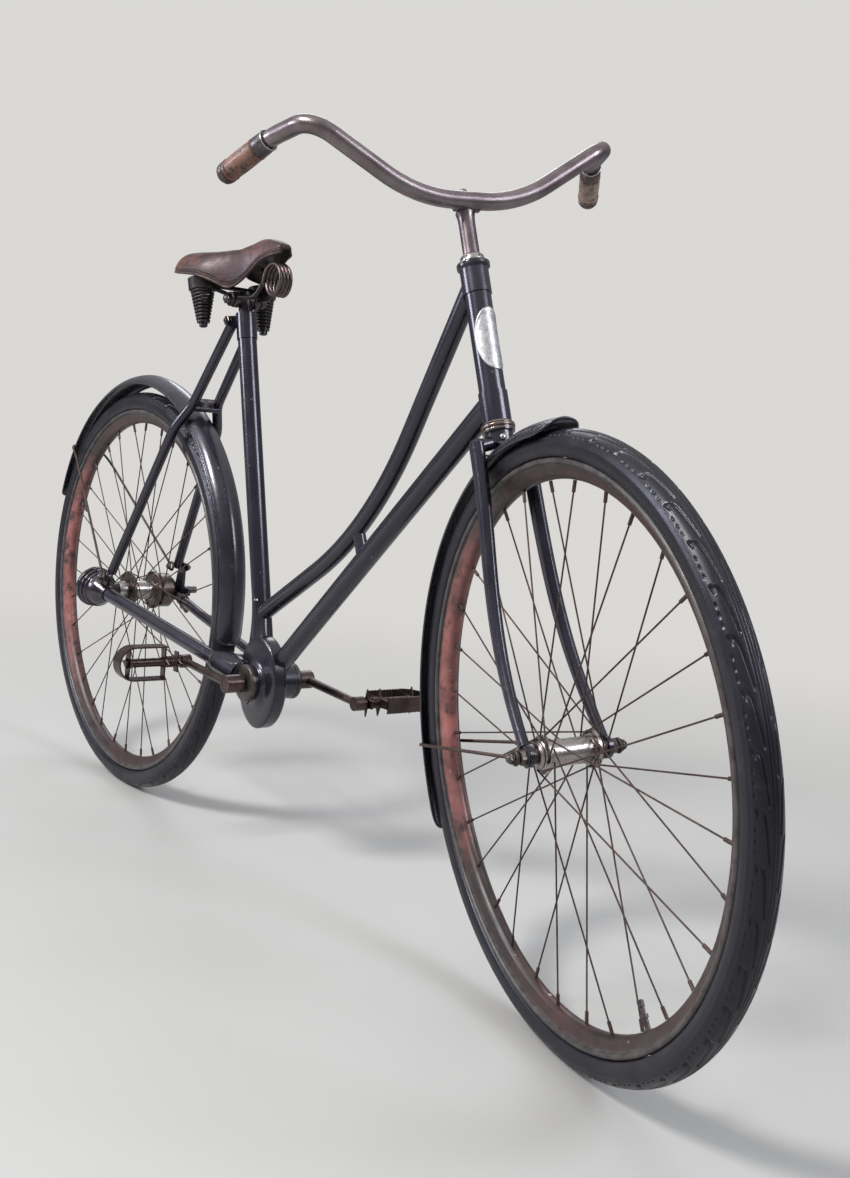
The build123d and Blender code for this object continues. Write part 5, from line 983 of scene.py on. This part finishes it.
# Grips: a metal ferrule with a bright ring at the mouth, and a dark cap on the end
for name, side in (("right", -1), ("left", 1)):
    bar_end = on_fork(-124, side * 263, 769)
    bar_bend = on_fork(-40, side * 222, 777)
    back = (bar_end - bar_bend).normalized()
    mouth = bar_end - back * 0.084
    profile = [(-1, 11.6), (-1, 13), (0.4, 13.4), (16, 14), (18.5, 13.7)]
    finish = DARK_STEEL if side < 0 else GRIP
    turned("grip_ferrule_" + name, finish, "steering", mouth, back, profile, 40)
    form = Shape()
    ring(form, mouth - back * 0.0012, back, 13.3, 0.85, 48, 8)
    form.make("grip_ring_" + name, BRIGHT, "steering")
    profile = [(75, 13.6), (75.8, 14.1), (81.5, 13.5), (84.8, 11.8), (86.6, 9.2), (87.3, 5), (87.4, 1)]
    turned("grip_cap_" + name, DARK_STEEL, "steering", mouth, back, profile, 40)
    form = Shape()
    for place, radius in ((20.5, 14), (70, 14.1)):
        ring(form, mouth + back * place / 1000, back, radius - 0.4, 0.7, 48, 8)
    form.make("grip_bands_" + name, GRIP, "steering")

# Saddle hide: one crowned skin with hanging flaps and a turned-down edge all round
SADDLE_ROWS = (
    # ahead, half width, drop of the top, drop of the edge
    (227.6, 55, 25, 31), (229.2, 62, 14.5, 33.5), (234.5, 73, 8, 37), (250, 88, 4, 42),
    (270, 86.5, 2.6, 43.6), (290, 80, 2, 45), (306, 73, 1.2, 48), (320, 64, 0, 52.5),
    (334, 55, -1.2, 58.5), (346, 47, -3, 63), (358, 40, -6, 59), (372, 33, -10, 48),
    (384, 28, -13.4, 35), (394, 24.5, -15.4, 25), (406, 21.5, -15.4, 18.5), (418, 19, -13, 14),
    (431, 16, -9, 11.5), (438.5, 12.5, -5, 10), (441.6, 8, 0, 9),
)
SADDLE_SECTION = (
    # shares of the half width and of the drop from the top to the edge
    (0, 0), (0.34, 0.012), (0.62, 0.075), (0.8, 0.21), (0.92, 0.47), (0.985, 0.76), (1, 1),
)
HIDE_THICKNESS = 4.4
EDGE_STEPS = [0.8 * k for k in range(15)]


def section_points(half, top, edge):
    """The hide's half section from its edge to the middle, first close steps, then wide ones."""
    shares = smooth_run(SADDLE_SECTION, 14)[::-1]
    fine = [Vector((half * p.x, SEAT_HEIGHT - top - (edge - top) * p.y)) for p in shares]
    lengths = [0]
    for a, b in zip(fine, fine[1:]):
        lengths.append(lengths[-1] + (b - a).length)
    stops = [min(step, 0.3 * lengths[-1] * step / EDGE_STEPS[-1]) for step in EDGE_STEPS]
    stops += [stops[-1] + (lengths[-1] - stops[-1]) * (k + 1) / 20 for k in range(20)]
    points = []
    for stop in stops:
        i = max(k for k in range(len(lengths)) if lengths[k] <= stop + 1e-6)
        i = min(i, len(fine) - 2)
        t = (stop - lengths[i]) / max(1e-6, lengths[i + 1] - lengths[i])
        points.append(fine[i].lerp(fine[i + 1], min(1, t)))
    return points, stops


saddle_rows = smooth_run(SADDLE_ROWS, 6)
skin = []
for row in saddle_rows:
    points, stops = section_points(max(2, row[1]), row[2], row[3])
    left_half = [Vector((row[0], p.x, p.y)) for p in points]
    right_half = [Vector((row[0], -p.x, p.y)) for p in points]
    skin.append((left_half + right_half[-2::-1], stops + stops[-2::-1]))
outer_rows, inner_rows = [], []
for i, (points, stops) in enumerate(skin):
    before = skin[max(i - 1, 0)][0]
    after = skin[min(i + 1, len(skin) - 1)][0]
    outer, inner = [], []
    for j, p in enumerate(points):
        across = points[min(j + 1, len(points) - 1)] - points[max(j - 1, 0)]
        along = after[j] - before[j]
        normal = across.cross(along).normalized()
        if normal.z < 0 and abs(normal.y) < 0.5:
            normal = -normal
        if (p.y > 1 and normal.y < -0.2) or (p.y < -1 and normal.y > 0.2):
            normal = -normal
        d = stops[j]
        tooled = 0.45 * exp(-(((d - 1.6) / 1.3) ** 2)) - 1.1 * exp(-(((d - 4.6) / 1) ** 2))
        tooled -= 0.8 * exp(-(((d - 7.8) / 0.9) ** 2))
        grain = 0.55 * noise.noise(p * 0.035) + 0.3 * noise.noise(p * 0.11)
        worn = -0.9 * exp(-(((p.x - 300) / 34) ** 2)) * exp(-(((abs(p.y) - 34) / 18) ** 2))
        fade = min(1, d / 3)
        outer.append(p + normal * (-0.9 + tooled + (grain + worn) * fade))
        inner.append(p - normal * HIDE_THICKNESS)
    outer_rows.append(outer)
    inner_rows.append(inner)
saddle = Shape()
skin_rows = [outer + inner[::-1] for outer, inner in zip(outer_rows, inner_rows)]
saddle.grid([[at(*p) for p in row] for row in skin_rows], close_v=True, cap=True)
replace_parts(saddle.make("saddle_hide_skin", HIDE), "saddle_leather")

# Two rows of stitches that follow the hide's edge
form = Shape()
for column in (6, 9):
    for mirror in (False, True):
        line = [row[len(row) - 1 - column if mirror else column] for row in outer_rows[12:-10]]
        gone, target = 0, 0
        for a, b in zip(line, line[1:]):
            step = (b - a).length
            while gone + step >= target:
                middle = a.lerp(b, (target - gone) / max(step, 1e-6))
                way = (b - a).normalized() * 1.5
                lift = Vector((0, 0.45 if middle.y > 0 else -0.45, 0.1))
                path = ((-1, 0), (-0.5, 1), (0.5, 1), (1, 0))
                ends = [at(*(middle + lift * bulge + way * t)) for t, bulge in path]
                form.tube(ends, [0.3, 0.55, 0.55, 0.3], 6)
                target += 4.3
            gone += step
form.make("saddle_stitches", THREAD)

# Saddle springs: wound wire under cups at the rear, and the wide coils across the nose
SPRING_DOWN = Vector((0.2, 0, -1)).normalized()
form = Shape()
for side in (1, -1):
    centre = at(285, side * 54, 878)
    cup = [
        (-1.2, 12), (-1, 19.5), (0.5, 21.6), (14, 22.5), (16, 23), (17.6, 22.9), (18.4, 22),
        (18.2, 20.6), (7, 19.8), (6.8, 5),
    ]
    form.lathe(centre, -SPRING_DOWN, cup, 44)
    side_way = SPRING_DOWN.cross(LEFT)
    points = []
    turns = 9
    for k in range(turns * 30 + 1):
        t = k / (turns * 30)
        turn = 2 * pi * turns * t * side
        spread = (side_way * cos(turn) + LEFT * sin(turn)) * (16.9 - 8.4 * t)
        points.append(centre + (SPRING_DOWN * (1.6 + 47 * t) + spread) / 1000)
    form.tube(points, 2.35, 10)
    foot = centre + SPRING_DOWN * 0.0486
    profile = [(-2, 6), (-0.5, 10.2), (2.4, 10.2), (3, 6.6), (8.4, 6.4), (9.6, 4.2)]
    form.lathe(foot, SPRING_DOWN, profile, 28)
    form.tube([centre, at(285, side * 54, 928.5)], 5, 16)
    form.lathe(at(285, side * 54, 921), UP, [(0, 9.5), (2, 9.5), (2.4, 8.6)], 28)
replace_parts(sharpen(form.make("saddle_wound_springs", SPRING_STEEL), 50), "saddle_rear_springs")
form = Shape()
points = [at(391, -8.6, 889), at(395, -10.6, 893)]
turns = 4
for k in range(turns * 40 + 1):
    t = k / (turns * 40)
    turn = pi + 2 * pi * turns * t
    points.append(at(422.6 + 22.9 * cos(turn), -12 + 24 * t, 897 - 22.9 * sin(turn)))
points += [at(395, 10.6, 893), at(391, 8.6, 889)]
form.tube(points, 2.6, 12)
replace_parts(form.make("saddle_nose_coils", COIL_STEEL), "saddle_nose_spring")

# Stage: a pale floor under soft lamps, which fades into a backdrop of one colour
BACKDROP = rgb(0.7, 0.69, 0.67)
floor_mesh = bpy.data.meshes.new("floor")
corners = [(-30, -30, FLOOR), (30, -30, FLOOR), (30, 30, FLOOR), (-30, 30, FLOOR)]
floor_mesh.from_pydata(corners, [], [(0, 1, 2, 3)])
floor = add_object("floor", floor_mesh)
ground = Paint("floor_pale", Roughness=0.85)
ground.colour(ground.over((0.375, 0.37, 0.36), (0.4, 0.394, 0.383), 0.3, 0.7, 1.3, 5))
glow = ground.node("Emission", {"Color": BACKDROP})
far = ground.span(ground.distance((0.6, -0.3, FLOOR)), 0.9, 3.4, interpolation_type="SMOOTHSTEP")
fade = ground.times(far, ground.node("LightPath").outputs["Is Camera Ray"])
both = ground.node("MixShader", feeds={0: fade, 1: ground.shader.outputs[0], 2: glow.outputs[0]})
ground.link(both.outputs[0], ground.tree.nodes["Material Output"].inputs["Surface"])
floor_mesh.materials.append(ground.material)

world = bpy.data.worlds.new("world")
SCENE.world = world
world.use_nodes = True
world.node_tree.nodes.clear()
sky = Nodes(world.node_tree)
level = sky.span(sky.axis(sky.node("TexCoord").outputs["Generated"], "Z"), -1, 1)
tones = sky.node("ValToRGB", feeds={"Fac": level})
stops = tones.color_ramp.elements
for stop, (place, tone) in zip(
    (stops[0], stops[1], stops.new(0.62)),
    ((0, rgb(0.16, 0.155, 0.155)), (1, rgb(0.88, 0.94, 1.12)), (0.62, rgb(0.22, 0.225, 0.25))),
):
    stop.position = place
    stop.color = tone
shown = sky.node("Background", {"Color": BACKDROP, "Strength": 1})
lighting = sky.node("Background", {"Strength": 1}, {"Color": tones.outputs["Color"]})
seen = sky.node("LightPath").outputs["Is Camera Ray"]
blend = sky.node("MixShader", feeds={0: seen, 1: lighting.outputs[0], 2: shown.outputs[0]})
sky.node("OutputWorld", feeds={"Surface": blend.outputs[0]})

MIDDLE = Vector((0.25, 0, -0.45))


def lamp(name, place, size, power, colour=(1, 1, 1)):
    """A square softbox that faces the middle of the bicycle."""
    data = bpy.data.lights.new(name, "AREA")
    data.shape = "SQUARE"
    data.size = size
    data.energy = power
    data.color = colour
    thing = add_object(name, data)
    thing.location = place
    thing.rotation_euler = (MIDDLE - Vector(place)).to_track_quat("-Z", "Y").to_euler()


lamp("key", (0.1, -2.9, 2.3), 0.8, 165, (1, 0.985, 0.96))
lamp("side_strip", (-1.3, -2.3, 0.5), 0.8, 38, (0.84, 0.89, 1))
lamp("rim_light", (-2.6, 1.8, 2.2), 1.6, 34, (0.9, 0.94, 1))
lamp("front_fill", (3, 1.2, 1.4), 1.1, 52, (0.86, 0.91, 1))
